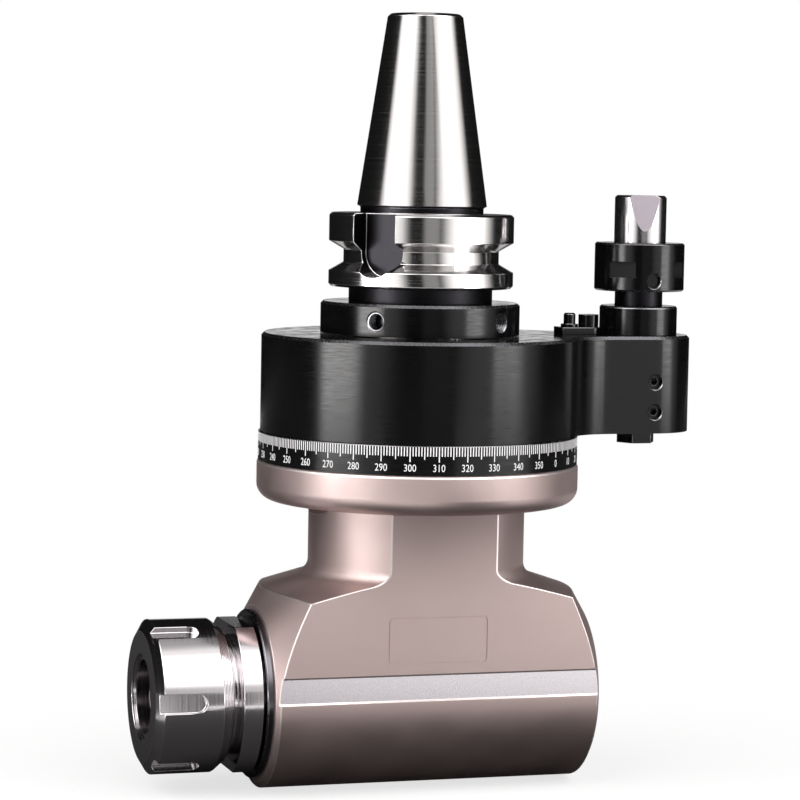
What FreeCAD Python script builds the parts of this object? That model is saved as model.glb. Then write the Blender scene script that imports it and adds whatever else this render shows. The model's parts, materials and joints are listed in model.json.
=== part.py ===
import FreeCAD, Part
import Sketcher
import math
import os
import re

# Right angle milling head: a 7:24 taper shank with a gripper flange turns an upright
# input shaft. A pair of straight bevel gears passes the turn on to a level spindle
# with a collet nut. A swivelling housing around the input shaft carries a sprung stop
# pin, which keeps the head from turning with the shank.
#
# Frame: millimetres, +Z up along the shank. The origin is the centre of the taper's
# gauge plane. The collet nut points along -X, the stop arm along +X, and the front
# flat with the ground strip faces -Y. Depths are counted downwards from the origin,
# and reaches are counted along the spindle from the input axis.

os.makedirs("parts", exist_ok=True)
doc = FreeCAD.newDocument("RightAngleHead")
sheet = doc.addObject("Spreadsheet::Sheet", "Sizes")

SIZES = [
    ("taper_gauge_dia", 44.45, "taper diameter at the gauge plane"),
    ("taper_length", 65.4, "gauge plane to the small end"),
    ("taper_rate", 0.2916667, "diameter lost for each mm of taper"),
    ("taper_foot", 0.6, "large end of the taper above the gauge plane"),
    ("taper_edge", 1.0, "bevel of the small end"),
    ("relief_dia", 42.0, "undercut between taper and flange"),
    ("stud_core_dia", 14.0, "core of the pull stud thread"),
    ("stud_thread_depth", 36.0, "depth of the pull stud thread"),
    ("stud_pilot_dia", 17.0, "pilot of the pull stud"),
    ("stud_pilot_depth", 5.0, "depth of the pilot"),
    ("flange_gap", 2.0, "gauge plane to the flange face"),
    ("flange_dia", 63.0, "gripper flange diameter"),
    ("flange_height", 25.0, "gripper flange height"),
    ("flange_edge", 0.8, "bevel of the flange edges"),
    ("vee_level", 16.6, "depth of the middle of the gripper groove"),
    ("vee_width", 10.0, "gripper groove width at the rim"),
    ("vee_floor_width", 4.2, "gripper groove width at its floor"),
    ("vee_floor_dia", 53.0, "gripper groove floor diameter"),
    ("drive_slot_width", 16.1, "drive key slot width"),
    ("drive_slot_floor", 22.5, "drive key slot floor from the axis"),
    ("drive_slot_depth", 21.4, "drive key slot length below the flange face"),
    ("drive_slot_turn", -49.0, "drive slot direction, degrees from the front"),
    ("shank_neck_dia", 49.0, "neck between flange and collar"),
    ("shank_neck_height", 5.0, "height of that neck"),
    ("collar_dia", 68.0, "positioning collar diameter"),
    ("collar_height", 10.7, "positioning collar height"),
    ("collar_edge", 0.9, "bevel of the collar's top edge"),
    ("collar_hole_dia", 6.0, "collar screw hole diameter"),
    ("collar_hole_level", 5.7, "collar screw hole below the collar's top"),
    ("collar_hole_turn", -43.7, "first collar hole, degrees from the front"),
    ("collar_hole_spread", 79.4, "angle between neighbouring collar holes"),
    ("collar_screw_length", 6.0, "collar set screw length"),
    ("running_gap", 0.3, "clearance between parts that turn or slide"),
    ("seal_seat_dia", 45.0, "input shaft under the collar and seal"),
    ("main_seat_dia", 40.0, "input shaft at the main bearing"),
    ("lower_seat_dia", 35.0, "input shaft at the lower bearing"),
    ("gear_seat_dia", 22.0, "input shaft and spindle at the gears"),
    ("main_bearing_dia", 68.0, "main bearing outside diameter"),
    ("main_bearing_width", 15.0, "main bearing width"),
    ("main_bearing_drop", 8.0, "housing top to the main bearing"),
    ("thin_bearing_dia", 55.0, "lower and front bearing outside diameter"),
    ("thin_bearing_width", 10.0, "lower and front bearing width"),
    ("lower_bearing_base", 114.0, "depth of the lower bearing's underside"),
    ("rear_seat_dia", 20.0, "spindle at the rear bearing"),
    ("rear_bearing_dia", 42.0, "rear bearing outside diameter"),
    ("rear_bearing_width", 12.0, "rear bearing width"),
    ("rear_bearing_reach", 28.0, "input axis to the rear bearing"),
    ("rear_web", 1.0, "wall between gear chamber and rear bearing"),
    ("housing_wall", 4.3, "stop housing wall outside the clamp shoes"),
    ("housing_height", 33.4, "stop housing height"),
    ("housing_roof", 4.2, "thickness of the housing's roof"),
    ("housing_edge", 1.0, "bevel of the housing's top edge"),
    ("arm_width", 36.0, "stop arm width and end diameter"),
    ("arm_root_radius", 20.0, "fillet between arm and housing"),
    ("pin_reach", 80.0, "input axis to the stop pin"),
    ("spigot_wall", 4.0, "wall of the spigot round the main bearing"),
    ("spigot_drop", 5.0, "housing top to the spigot's top"),
    ("shoe_gap", 0.5, "clamp shoes to the spigot, and their screws to the lip"),
    ("shoe_wall", 1.5, "clamp shoe wall inside its tapped holes"),
    ("shoe_height", 8.0, "clamp shoe height"),
    ("shoe_span", 96.0, "clamp shoe angle"),
    ("lip_height", 6.1, "housing lip under the clamp shoes"),
    ("lip_lap", 3.2, "reach of that lip under the shoes"),
    ("clamp_spread", 25.0, "clamp screw angle from the head's width"),
    ("clamp_screw_dia", 6.0, "clamp screw thread"),
    ("clamp_head_dia", 10.0, "clamp screw head"),
    ("clamp_head_height", 6.0, "clamp screw head height"),
    ("clamp_key", 5.0, "clamp screw socket across flats"),
    ("clamp_sink_play", 0.25, "play round a clamp screw head"),
    ("ring_proud", 0.6, "graduated ring beyond the housing"),
    ("ring_height", 10.0, "graduated ring height with its gap"),
    ("register_step", 0.5, "graduated ring bore outside the lip's"),
    ("ring_edge", 0.3, "bevel of the graduated ring"),
    ("register_height", 2.0, "register that centres the graduated ring"),
    ("swivel_gap", 0.1, "gap between housing and graduated ring"),
    ("body_flange_proud", 1.0, "head body flange beyond the housing"),
    ("body_flange_height", 13.5, "head body flange height"),
    ("body_flange_round", 5.5, "round of the flange's lower edge"),
    ("body_flange_edge", 0.7, "bevel of the flange's upper edge"),
    ("body_neck_dia", 74.0, "head body neck diameter"),
    ("body_width", 64.0, "head body width across its flats"),
    ("body_length", 114.0, "head body length along the spindle"),
    ("spindle_drop", 165.0, "gauge plane to the spindle axis"),
    ("shoulder_level", 124.1, "depth of the shoulder at the neck"),
    ("shoulder_slope", 18.4, "shoulder slope in degrees"),
    ("shoulder_round", 5.0, "round between neck and shoulder"),
    ("end_face_dia", 60.0, "flat end face of the body"),
    ("end_cone_rate", 0.65, "length lost for each mm beyond the end face"),
    ("strip_level", 155.3, "depth of the ground strip's upper edge"),
    ("strip_height", 8.6, "ground strip height"),
    ("strip_depth", 0.5, "ground strip depth below the flat"),
    ("clip_groove", 2.5, "depth of the retaining ring's groove"),
    ("chamber_step", 1.5, "shoulder under the thin bearings"),
    ("seal_dia", 56.0, "top seal outside diameter"),
    ("seal_body", 1.6, "top seal's lip from the shaft to its body"),
    ("seal_gap", 0.6, "seals to the bearing under them"),
    ("seal_lip", 1.2, "height of the top seal's lip"),
    ("nose_seal_sink", 0.5, "nose seal below the gland's face"),
    ("nose_seal_web", 1.0, "nose seal's lip from the spindle to its body"),
    ("retainer_height", 2.8, "threaded bearing retainer height"),
    ("spacer_wall", 3.5, "wall of the input shaft's spacer"),
    ("clip_opening", 8.0, "opening of the retaining ring"),
    ("clip_height", 1.2, "retaining ring thickness"),
    ("clip_lap", 1.5, "retaining ring reach over the bearing"),
    ("gear_teeth", 20, "teeth of each bevel gear"),
    ("gear_module", 2.25, "module at the large end"),
    ("gear_face", 9.0, "face width"),
    ("gear_hub_dia", 34.0, "gear hub diameter"),
    ("gear_back", 1.5, "gear rim behind the teeth's root"),
    ("gear_step", 1.0, "gear rim to its hub, and root to its front face"),
    ("gear_backlash", 0.12, "play cut from each tooth flank"),
    ("gear_pressure_angle", 20, "pressure angle in degrees"),
    ("key_width", 6.0, "gear key width and height"),
    ("key_sink", 3.2, "key depth in the shaft"),
    ("input_key_length", 18.0, "input gear key length"),
    ("output_key_setback", 3.7, "output gear's front to the end of its key"),
    ("washer_height", 3.0, "input gear retaining washer"),
    ("washer_dia", 27.0, "retaining washer diameter"),
    ("end_screw_core", 6.8, "input gear retaining screw"),
    ("end_screw_spare", 2.0, "tapped depth beyond that screw"),
    ("end_screw_socket", 5.0, "its socket diameter"),
    ("end_screw_sink", 1.5, "its socket depth"),
    ("end_screw_length", 20.0, "depth of that screw in the shaft"),
    ("gland_spigot", 3.0, "gland reach into the body"),
    ("nose_collar_dia", 55.0, "spindle nose collar diameter"),
    ("nose_collar_gap", 3.3, "body end to the nose collar"),
    ("nose_collar_width", 6.6, "spindle nose collar width"),
    ("nose_collar_flats", 49.0, "spindle nose collar across flats"),
    ("nose_thread_dia", 40.0, "spindle nose thread"),
    ("nose_length", 30.5, "body end to the spindle's face"),
    ("nose_bevel", 1.0, "bevel of the spindle's face"),
    ("nose_shoulder", 1.8, "shoulder against the front bearings"),
    ("collet_mouth_dia", 33.0, "collet taper at the spindle's face"),
    ("collet_half_angle", 8.0, "collet taper half angle in degrees"),
    ("collet_depth", 38.0, "collet taper length"),
    ("collet_relief_dia", 21.0, "bore behind the collet taper"),
    ("collet_relief_length", 8.0, "length of that bore"),
    ("gland_lip", 1.0, "nose gland rim beyond its bearings"),
    ("gland_edge", 0.4, "bevel of the nose gland"),
    ("gland_rim", 2.3, "nose gland rim width"),
    ("gland_bore", 44.0, "nose gland bore"),
    ("sleeve_dia", 27.0, "spindle spacer sleeve diameter"),
    ("locknut_dia", 30.0, "spindle locknut diameter"),
    ("locknut_width", 6.0, "spindle locknut width"),
    ("locknut_room", 1.5, "rear cover's hollow outside the locknut"),
    ("tail_rise", 1.5, "spindle tail beyond the locknut"),
    ("tail_room", 2.2, "rear cover's hollow beyond the locknut"),
    ("cover_dia", 55.0, "rear cover diameter"),
    ("cover_height", 5.0, "rear cover flange thickness"),
    ("cover_play", 0.2, "radial play of the rear cover"),
    ("cover_edge", 0.5, "bevel of the rear cover"),
    ("cover_screw_circle", 48.4, "circle of the rear cover screws"),
    ("cover_screw_dia", 2.5, "rear cover screw core"),
    ("cover_screw_head", 5.5, "rear cover screw head diameter"),
    ("cover_screw_sink", 3.0, "rear cover screw head height"),
    ("cover_screw_key", 2.5, "rear cover screw socket across flats"),
    ("cover_screw_length", 6.0, "rear cover screw length in the body"),
    ("tap_spare", 1.0, "tapped depth beyond a screw's end"),
    ("nut_dia", 52.0, "collet nut diameter"),
    ("nut_gap", 12.0, "body end to the collet nut"),
    ("nut_length", 26.7, "collet nut length"),
    ("nut_rear_dia", 45.0, "collet nut rear edge"),
    ("nut_rear_bevel", 4.3, "collet nut rear bevel length"),
    ("nut_front_dia", 44.0, "collet nut front edge"),
    ("nut_front_bevel", 2.4, "collet nut front bevel length"),
    ("nut_mouth_dia", 29.0, "collet nut mouth"),
    ("nut_slots", 6, "wrench slots of the collet nut"),
    ("nut_slot_width", 6.4, "wrench slot width"),
    ("nut_slot_depth", 2.3, "wrench slot depth"),
    ("nut_slot_setback", 10.0, "nut's back to the slots' round ends"),
    ("nut_slot_turn", 3.7, "first slot, degrees from the front"),
    ("closing_ring_bore", 25.0, "bore of the nut's closing ring"),
    ("closing_ring_width", 5.0, "width of the nut's closing ring"),
    ("closing_ring_sink", 1.0, "nut's face to the closing ring"),
    ("nut_thread_relief", 0.8, "nut thread beyond the spindle's face"),
    ("pin_dia", 18.0, "stop pin diameter"),
    ("pin_seat_dia", 17.0, "stop pin inside its collar"),
    ("pin_neck_dia", 16.6, "stop pin in its guide"),
    ("pin_rise", 5.3, "stop pin above the gauge plane"),
    ("pin_bevel_length", 12.4, "lead-in facet length"),
    ("pin_bevel_depth", 1.85, "lead-in facet depth at the top"),
    ("pin_bevel_turn", -11.0, "lead-in facet direction, degrees from the front"),
    ("pin_edge", 0.8, "bevel of the pin's top edge"),
    ("pin_foot", 64.0, "depth of the stop pin's lower end"),
    ("pin_travel", 5.0, "stop pin travel"),
    ("pin_collar_dia", 31.2, "stop pin collar diameter"),
    ("pin_collar_level", 11.1, "depth of the pin collar's top"),
    ("pin_collar_height", 16.7, "pin collar height"),
    ("pin_collar_edge", 0.6, "bevel of the pin collar"),
    ("recess_level", 17.5, "depth of the spanner recesses' upper edge"),
    ("recess_height", 5.5, "spanner recess height"),
    ("recess_width", 10.0, "spanner recess width"),
    ("recess_depth", 1.4, "spanner recess depth"),
    ("recess_turn", 45.0, "first spanner recess, degrees from the front"),
    ("collar_grub_level", 24.0, "depth of the pin collar's set screw"),
    ("collar_grub_turn", -2.0, "its direction, degrees from the front"),
    ("grub_dia", 5.0, "set screw diameter in collar and arm"),
    ("grub_key", 2.5, "set screw socket across flats"),
    ("guide_dia", 27.0, "pin guide sleeve diameter"),
    ("guide_height", 10.0, "pin guide sleeve above the arm"),
    ("guide_edge", 0.6, "bevel of the guide sleeve"),
    ("stop_screw_level", 58.6, "depth of the pin's stop screw"),
    ("lock_screw_level", 69.0, "depth of the spring plug's lock screw"),
    ("arm_screw_sink", 2.0, "arm set screws below the arm's side"),
    ("arm_tap_end", 5.0, "pin axis to the end of the arm's tapped holes"),
    ("pin_screw_sink", 2.0, "pin collar set screw below the rim"),
    ("pin_slot_depth", 2.0, "slot in the stop pin"),
    ("spring_well_dia", 9.0, "spring well in the stop pin"),
    ("spring_well_top", 54.0, "depth of the spring well's end"),
    ("spring_dia", 8.0, "pin spring outside diameter"),
    ("spring_wire", 1.4, "pin spring's square wire"),
    ("spring_turns", 5, "pin spring turns"),
    ("spring_end_gap", 0.1, "play at each end of the pin spring"),
    ("plug_dia", 8.0, "spring plug thread"),
    ("plug_length", 6.0, "spring plug inside the arm"),
    ("plug_flats", 12.0, "spring plug across flats"),
    ("plug_head", 4.5, "spring plug head height"),
    ("plate_reach", 50.4, "input axis to the latch plate's inner end"),
    ("plate_length", 15.6, "latch plate length"),
    ("plate_width", 9.0, "latch plate width"),
    ("plate_height", 2.4, "latch plate thickness"),
    ("post_reach", 54.5, "input axis to the latch post"),
    ("post_dia", 4.1, "latch post diameter"),
    ("post_base_dia", 6.0, "latch post base diameter"),
    ("post_base_height", 1.1, "latch post base above the plate"),
    ("post_height", 4.9, "latch post above the plate"),
    ("post_edge", 0.5, "bevel of the latch post"),
    ("plate_screw_reach", 61.5, "input axis to the latch plate screw"),
    ("plate_screw_head", 7.0, "latch plate screw head diameter"),
    ("plate_screw_rise", 4.4, "latch plate screw head height"),
    ("plate_screw_core", 4.0, "latch plate screw thread"),
    ("plate_screw_length", 12.0, "latch plate screw length"),
    ("plate_screw_key", 3.0, "latch plate screw socket across flats"),
]

for row, (alias, value, meaning) in enumerate(SIZES, start=1):
    sheet.set(f"A{row}", meaning)
    sheet.set(f"B{row}", str(value))
    sheet.setAlias(f"B{row}", alias)
doc.recompute()

ALIAS = re.compile(r"\b(" + "|".join(alias for alias, _, _ in SIZES) + r")\b")
SPARE = 1.0        # how far a cutting profile runs past the surface that it opens
FAR = 40.0         # how far a cutting profile runs beyond the block it trims
subparts = []


def formula(text):
    """The same formula with each size read from the sheet."""
    return ALIAS.sub(r"Sizes.\1", str(text))


def size(text):
    """The number that a formula gives with the sheet as it is."""
    return float(sheet.evalExpression(formula(text)))


def plus(*terms):
    return "(" + " + ".join(str(term) for term in terms) + ")"


def minus(first, *rest):
    return "(" + " - ".join([str(first)] + [str(term) for term in rest]) + ")"


def half(text):
    return f"({text}) / 2"


def below(depth):
    """Height of a depth counted down from the gauge plane."""
    return f"-({depth})"


def above_spindle(depth):
    """Height over the spindle axis of a depth counted down from the gauge plane."""
    return minus("spindle_drop", f"({depth})")


# Depths that several parts share, each worked out from the sheet
FLANGE_BACK = plus("flange_gap", "flange_height")
COLLAR_FACE = plus(FLANGE_BACK, "shank_neck_height")
COLLAR_BACK = plus(COLLAR_FACE, "collar_height")
HOUSING_TOP = plus(COLLAR_BACK, "running_gap")
HOUSING_BASE = plus(HOUSING_TOP, "housing_height")
RING_TOP = plus(HOUSING_BASE, "swivel_gap")
RING_BASE = plus(HOUSING_BASE, "ring_height")
FLANGE_FOOT = plus(RING_BASE, "body_flange_height")
MAIN_TOP = plus(HOUSING_TOP, "main_bearing_drop")
MAIN_BASE = plus(MAIN_TOP, "main_bearing_width")
LOWER_TOP = minus("lower_bearing_base", "thin_bearing_width")
SPIGOT_TOP = plus(HOUSING_TOP, "spigot_drop")
LIP_TOP = minus(HOUSING_BASE, "lip_height")
SHOE_BASE = minus(LIP_TOP, "running_gap")
SHOE_TOP = minus(SHOE_BASE, "shoe_height")
SEAT_STEP = 0.5    # shaft steps stop this far short of the bearing's face
GUIDE_TOP = minus(HOUSING_TOP, "guide_height")
PIN_COLLAR_BASE = plus("pin_collar_level", "pin_collar_height")
GUIDE_BORE = plus("pin_neck_dia", "2 * running_gap")
PLUG_TOP = minus(HOUSING_BASE, "plug_length")
PLATE_TOP = minus(HOUSING_TOP, "plate_height")

# Diameters that grow outwards from the main bearing, and from the thin bearings
SPIGOT_DIA = plus("main_bearing_dia", "2 * spigot_wall")
SHOE_BORE = plus(SPIGOT_DIA, "2 * shoe_gap")
CLAMP_CIRCLE = plus(SHOE_BORE, "clamp_screw_dia", "2 * shoe_wall")
LIP_BORE = plus(CLAMP_CIRCLE, "clamp_screw_dia", "2 * shoe_gap")
SHOE_DIA = plus(LIP_BORE, "2 * lip_lap")
HOUSING_DIA = plus(SHOE_DIA, "2 * housing_wall")
RING_BORE = plus(LIP_BORE, "2 * register_step")
RING_DIA = plus(HOUSING_DIA, "2 * ring_proud")
BODY_FLANGE_DIA = plus(HOUSING_DIA, "2 * body_flange_proud")
INNER_BORE = plus("thin_bearing_dia", "2 * clip_groove")
CHAMBER_DIA = minus("thin_bearing_dia", "2 * chamber_step")
GLAND_DIA = plus("thin_bearing_dia", "2 * gland_lip")

# Reaches along the spindle, counted from the body's ends
BODY_END = half("body_length")
FRONT_BEARING = minus(BODY_END, "gland_spigot")
NOSE_COLLAR = plus(BODY_END, "nose_collar_gap")
NOSE_END = plus(BODY_END, "nose_length")
NUT_BACK = plus(BODY_END, "nut_gap")
NUT_SLOTS = plus(NUT_BACK, "nut_slot_setback")
SPINDLE_STEP = plus(half("lower_seat_dia"), "nose_shoulder")

# Shares of a bearing's wall and width that its lips and raceway take
LIP_SHARE = 0.36
RACE_SHARE = 0.22
LIP_INNER_EDGE = 0.27
RACE_INNER_EDGE = 0.12
SOCKET_SHARE = 0.55   # depth of a key socket as a share of its screw's head

# Gear proportions: two equal straight bevel gears whose cones meet on the axes' crossing
GEAR_PITCH_RADIUS = "(gear_teeth * gear_module / 2)"
CONE_LENGTH = f"({GEAR_PITCH_RADIUS} * sqrt(2))"
INNER_SCALE = f"(1 - gear_face / {CONE_LENGTH})"
DEDENDUM = "(1.25 * gear_module)"
INPUT_HUB_TOP = minus("spindle_drop", "lower_bearing_base")
OUTPUT_HUB_TOP = minus(FRONT_BEARING, "2 * thin_bearing_width")


def cone_point(along, across):
    """Radius and height of a point on the pitch cone, moved square to it by across."""
    return (f"({along} - ({across})) / sqrt(2)", f"({along} + ({across})) / sqrt(2)")


INNER_CONE = f"({CONE_LENGTH} * {INNER_SCALE})"
GEAR_FRONT_RADIUS, GEAR_FRONT = cone_point(INNER_CONE, f"{DEDENDUM} * {INNER_SCALE} + gear_step")
INPUT_SHAFT_END = minus("spindle_drop", GEAR_FRONT)
OUTPUT_KEY_END = plus(GEAR_FRONT, "output_key_setback")
OUTPUT_KEY_LENGTH = minus(OUTPUT_HUB_TOP, OUTPUT_KEY_END)
FLANK_START = 0.05    # first point of a tooth's flank outside its base circle


def new_body(name, drop=None, reach=None):
    """A body named for its node, lowered by drop and moved along X by reach."""
    body = doc.addObject("PartDesign::Body", name)
    body.Label = name
    if drop is not None:
        body.setExpression("Placement.Base.z", formula(below(drop)))
    if reach is not None:
        body.setExpression("Placement.Base.x", formula(reach))
    subparts.append(body)
    return body


def sketch_on(body, role, name, offset=("0", "0", "0"), turn=None):
    """A sketch on an origin plane, moved by offset and turned about its upright axis."""
    sketch = body.newObject("Sketcher::SketchObject", name)
    plane = [item for item in body.Origin.OriginFeatures if item.Role == role][0]
    sketch.AttachmentSupport = (plane, [""])
    sketch.MapMode = "FlatFace"
    if turn is not None:
        angle = size(turn)
        sketch.AttachmentOffset = FreeCAD.Placement(
            FreeCAD.Vector(), FreeCAD.Rotation(FreeCAD.Vector(0, 1, 0), angle))
    for letter, text in zip("xyz", offset):
        if text != "0":
            sketch.setExpression("AttachmentOffset.Base." + letter, formula(text))
    return sketch


def outline(sketch, corners):
    """A closed outline of straight lines through corners given as pairs of formulas."""
    spots = [FreeCAD.Vector(size(x), size(y), 0) for x, y in corners]
    first = sketch.GeometryCount
    count = len(spots)
    lines = [Part.LineSegment(spots[i], spots[(i + 1) % count]) for i in range(count)]
    sketch.addGeometry(lines, False)
    sketch.addConstraint([
        Sketcher.Constraint("Coincident", first + i, 2, first + (i + 1) % count, 1)
        for i in range(count)])
    for i, corner in enumerate(corners):
        pin_point(sketch, first + i, 1, corner, spots[i])


def pin_point(sketch, element, end, corner, spot):
    """Ties one point of a sketch to a pair of formulas."""
    for kind, text, value in zip(("DistanceX", "DistanceY"), corner, spot):
        number = sketch.addConstraint(Sketcher.Constraint(kind, element, end, value))
        sketch.setExpression(f"Constraints[{number}]", formula(text))


def circle(sketch, centre, radius):
    """A circle whose centre and radius are formulas."""
    spot = FreeCAD.Vector(size(centre[0]), size(centre[1]), 0)
    upright = FreeCAD.Vector(0, 0, 1)
    element = sketch.addGeometry(Part.Circle(spot, upright, size(radius)), False)
    pin_point(sketch, element, 3, centre, spot)
    number = sketch.addConstraint(Sketcher.Constraint("Radius", element, size(radius)))
    sketch.setExpression(f"Constraints[{number}]", formula(radius))


def slot_end(sketch, centre, radius, tail):
    """A slot with a half round end at centre, its straight sides running by tail.

    tail is a pair of formulas, one of them "0": the slot runs along X or along Y.
    """
    along_x = tail[1] == "0"
    cx, cy = size(centre[0]), size(centre[1])
    dx, dy = size(tail[0]), size(tail[1])
    reach = size(radius)
    heading = math.degrees(math.atan2(dy, dx))
    arc = Part.ArcOfCircle(
        Part.Circle(FreeCAD.Vector(cx, cy, 0), FreeCAD.Vector(0, 0, 1), reach),
        math.radians(heading + 90), math.radians(heading + 270))
    side = FreeCAD.Vector(-math.sin(math.radians(heading)), math.cos(math.radians(heading)), 0)
    middle = FreeCAD.Vector(cx, cy, 0)
    run = FreeCAD.Vector(dx, dy, 0)
    left, right = middle + side * reach, middle - side * reach
    first = sketch.GeometryCount
    sketch.addGeometry([arc, Part.LineSegment(right, right + run),
                        Part.LineSegment(right + run, left + run),
                        Part.LineSegment(left + run, left)], False)
    sketch.addConstraint([
        Sketcher.Constraint("Tangent", first, 2, first + 1, 1),
        Sketcher.Constraint("Coincident", first + 1, 2, first + 2, 1),
        Sketcher.Constraint("Coincident", first + 2, 2, first + 3, 1),
        Sketcher.Constraint("Tangent", first + 3, 2, first, 1),
        Sketcher.Constraint("Horizontal" if along_x else "Vertical", first + 1),
        Sketcher.Constraint("Vertical" if along_x else "Horizontal", first + 2)])
    pin_point(sketch, first, 3, centre, middle)
    number = sketch.addConstraint(Sketcher.Constraint("Radius", first, reach))
    sketch.setExpression(f"Constraints[{number}]", formula(radius))
    end = plus(centre[0], tail[0]) if along_x else plus(centre[1], tail[1])
    kind = "DistanceX" if along_x else "DistanceY"
    number = sketch.addConstraint(Sketcher.Constraint(kind, first + 1, 2, size(end)))
    sketch.setExpression(f"Constraints[{number}]", formula(end))


def turned(body, corners, axis="V_Axis", kind="Revolution", role="XZ_Plane"):
    """Turns an outline about an axis of its sketch, to add or to cut."""
    name = f"{body.Name}_{kind.lower()}_{len(body.Group)}"
    sketch = sketch_on(body, role, name + "_profile")
    loops = corners if isinstance(corners[0], list) else [corners]
    for loop in loops:
        outline(sketch, loop)
    feature = body.newObject("PartDesign::" + kind, name)
    feature.Profile = sketch
    feature.ReferenceAxis = (sketch, [axis])
    feature.Angle = 360
    sketch.Visibility = False
    return feature


def extruded(body, sketch, length, kind="Pad", backwards=False):
    """Pads or pockets a sketch. A pad follows the sketch's normal, a pocket opposes it."""
    feature = body.newObject("PartDesign::" + kind, f"{sketch.Name}_{kind.lower()}")
    feature.Profile = sketch
    feature.setExpression("Length", formula(length))
    feature.Reversed = backwards
    sketch.Visibility = False
    return feature


def polar(body, features, role, count, angle=360):
    """Repeats features about one of the body's own axes."""
    pattern = body.newObject("PartDesign::PolarPattern", features[0].Name + "_ring")
    pattern.Originals = features
    line = [item for item in body.Origin.OriginFeatures if item.Role == role][0]
    pattern.Axis = (line, [""])
    pattern.Angle = angle
    pattern.setExpression("Occurrences", formula(count))
    body.Tip = pattern
    return pattern


def dressed(body, kind, picked, amount):
    """Rounds or bevels those edges of the body so far for which picked says yes."""
    doc.recompute()
    base = body.Tip
    names = [f"Edge{i}" for i, edge in enumerate(base.Shape.Edges, start=1) if picked(edge)]
    if not names:
        raise ValueError(f"{body.Label}: no edge found for its {kind.lower()}")
    feature = body.newObject("PartDesign::" + kind, f"{body.Name}_{kind.lower()}")
    feature.Base = (base, names)
    feature.setExpression("Radius" if kind == "Fillet" else "Size", formula(amount))
    return feature


def near(value, text):
    return abs(value - size(text)) < 0.01


def radial_offset(turn, radius):
    """Offset of a sketch on the front plane that faces out along a turned radius."""
    return (f"({radius}) * sin({turn})", "0", f"({radius}) * cos({turn})")


def spots_on_circle(diameter, angles):
    """Points on a circle about the origin, at angles in degrees from X."""
    return [(f"{half(diameter)} * cos({angle})", f"{half(diameter)} * sin({angle})")
            for angle in angles]


def hexagon(sketch, centre, flats):
    """A hexagon about centre, with its across-flats size as a formula."""
    corner = f"({flats}) / sqrt(3)"
    outline(sketch, [(f"{centre[0]} + {corner} * cos({60 * i})",
                      f"{centre[1]} + {corner} * sin({60 * i})") for i in range(6)])


def screws(body, spots, shank_dia, length, flats, head_dia=None, head=None):
    """Socket screws along local Z with their seats at zero; without a head, set screws."""
    if head_dia is not None:
        heads = sketch_on(body, "XY_Plane", body.Name + "_heads")
        for spot in spots:
            circle(heads, spot, half(head_dia))
        extruded(body, heads, head)
    shanks = sketch_on(body, "XY_Plane", body.Name + "_shanks")
    for spot in spots:
        circle(shanks, spot, half(shank_dia))
    extruded(body, shanks, length, backwards=True)
    top = head if head_dia is not None else "0"
    sockets = sketch_on(body, "XY_Plane", body.Name + "_sockets", ("0", "0", top))
    for spot in spots:
        hexagon(sockets, spot, flats)
    extruded(body, sockets, f"({head or length}) * {SOCKET_SHARE}", kind="Pocket")


def bearing_ring(body, inner, bore, outside, top, base, axis="V_Axis"):
    """One race of a ball bearing with its raceway, between two depths or reaches."""
    wall = f"((({outside}) - ({bore})) / 2)"
    middle = half(plus(top, base))
    width = f"(({top}) - ({base}))"
    back = half(bore) if inner else half(outside)
    outwards = "+" if inner else "-"
    lip = f"({back} {outwards} {LIP_SHARE} * {wall})"
    race = f"({back} {outwards} {RACE_SHARE} * {wall})"
    steps = [(back, top), (lip, top), (lip, f"{middle} + {LIP_INNER_EDGE} * {width}"),
             (race, f"{middle} + {RACE_INNER_EDGE} * {width}"),
             (race, f"{middle} - {RACE_INNER_EDGE} * {width}"),
             (lip, f"{middle} - {LIP_INNER_EDGE} * {width}"), (lip, base), (back, base)]
    corners = steps if axis == "V_Axis" else [(y, x) for x, y in steps]
    return turned(body, corners, axis=axis)


def box(name, length, width, height, corner):
    """A key: a Part::Box with its sizes and its lowest corner as formulas."""
    part = doc.addObject("Part::Box", name)
    part.Label = name
    for prop, text in (("Length", length), ("Width", width), ("Height", height)):
        part.setExpression(prop, formula(text))
    for letter, text in zip("xyz", corner):
        part.setExpression("Placement.Base." + letter, formula(text))
    subparts.append(part)
    return part


def involute(angle):
    return math.tan(angle) - angle


def tooth_space(height):
    """Outline of one tooth space in the plane at this height above the cones' apex.

    The flanks are involutes of the equivalent spur gear, whose radius is the back cone's
    length. Every straight line of a bevel tooth runs to the apex, so the outline only
    grows with height.
    """
    teeth = size("gear_teeth")
    pressure = math.radians(size("gear_pressure_angle"))
    pitch = size(GEAR_PITCH_RADIUS)
    virtual = size(CONE_LENGTH)
    base = virtual * math.cos(pressure)
    root = virtual - size(DEDENDUM)
    tip = virtual + size("gear_module")
    thick = math.pi / (2 * virtual * 2 / size("gear_module")) + involute(pressure)
    play = size("gear_backlash") / virtual
    side = []
    for radius in (root, base + FLANK_START, (base + virtual) / 2, virtual, (virtual + tip) / 2, tip,
                   tip + size("gear_module")):
        steep = math.acos(min(1.0, base / radius))
        half_tooth = (thick - involute(steep) - play) * math.sqrt(2)
        shift = (radius - virtual) / math.sqrt(2)
        across = (pitch + shift) * height / (pitch - shift)
        half_space = math.pi / teeth - half_tooth
        side.append((across * math.cos(half_space), across * math.sin(half_space)))
    return side + [(x, -y) for x, y in reversed(side)]


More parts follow.
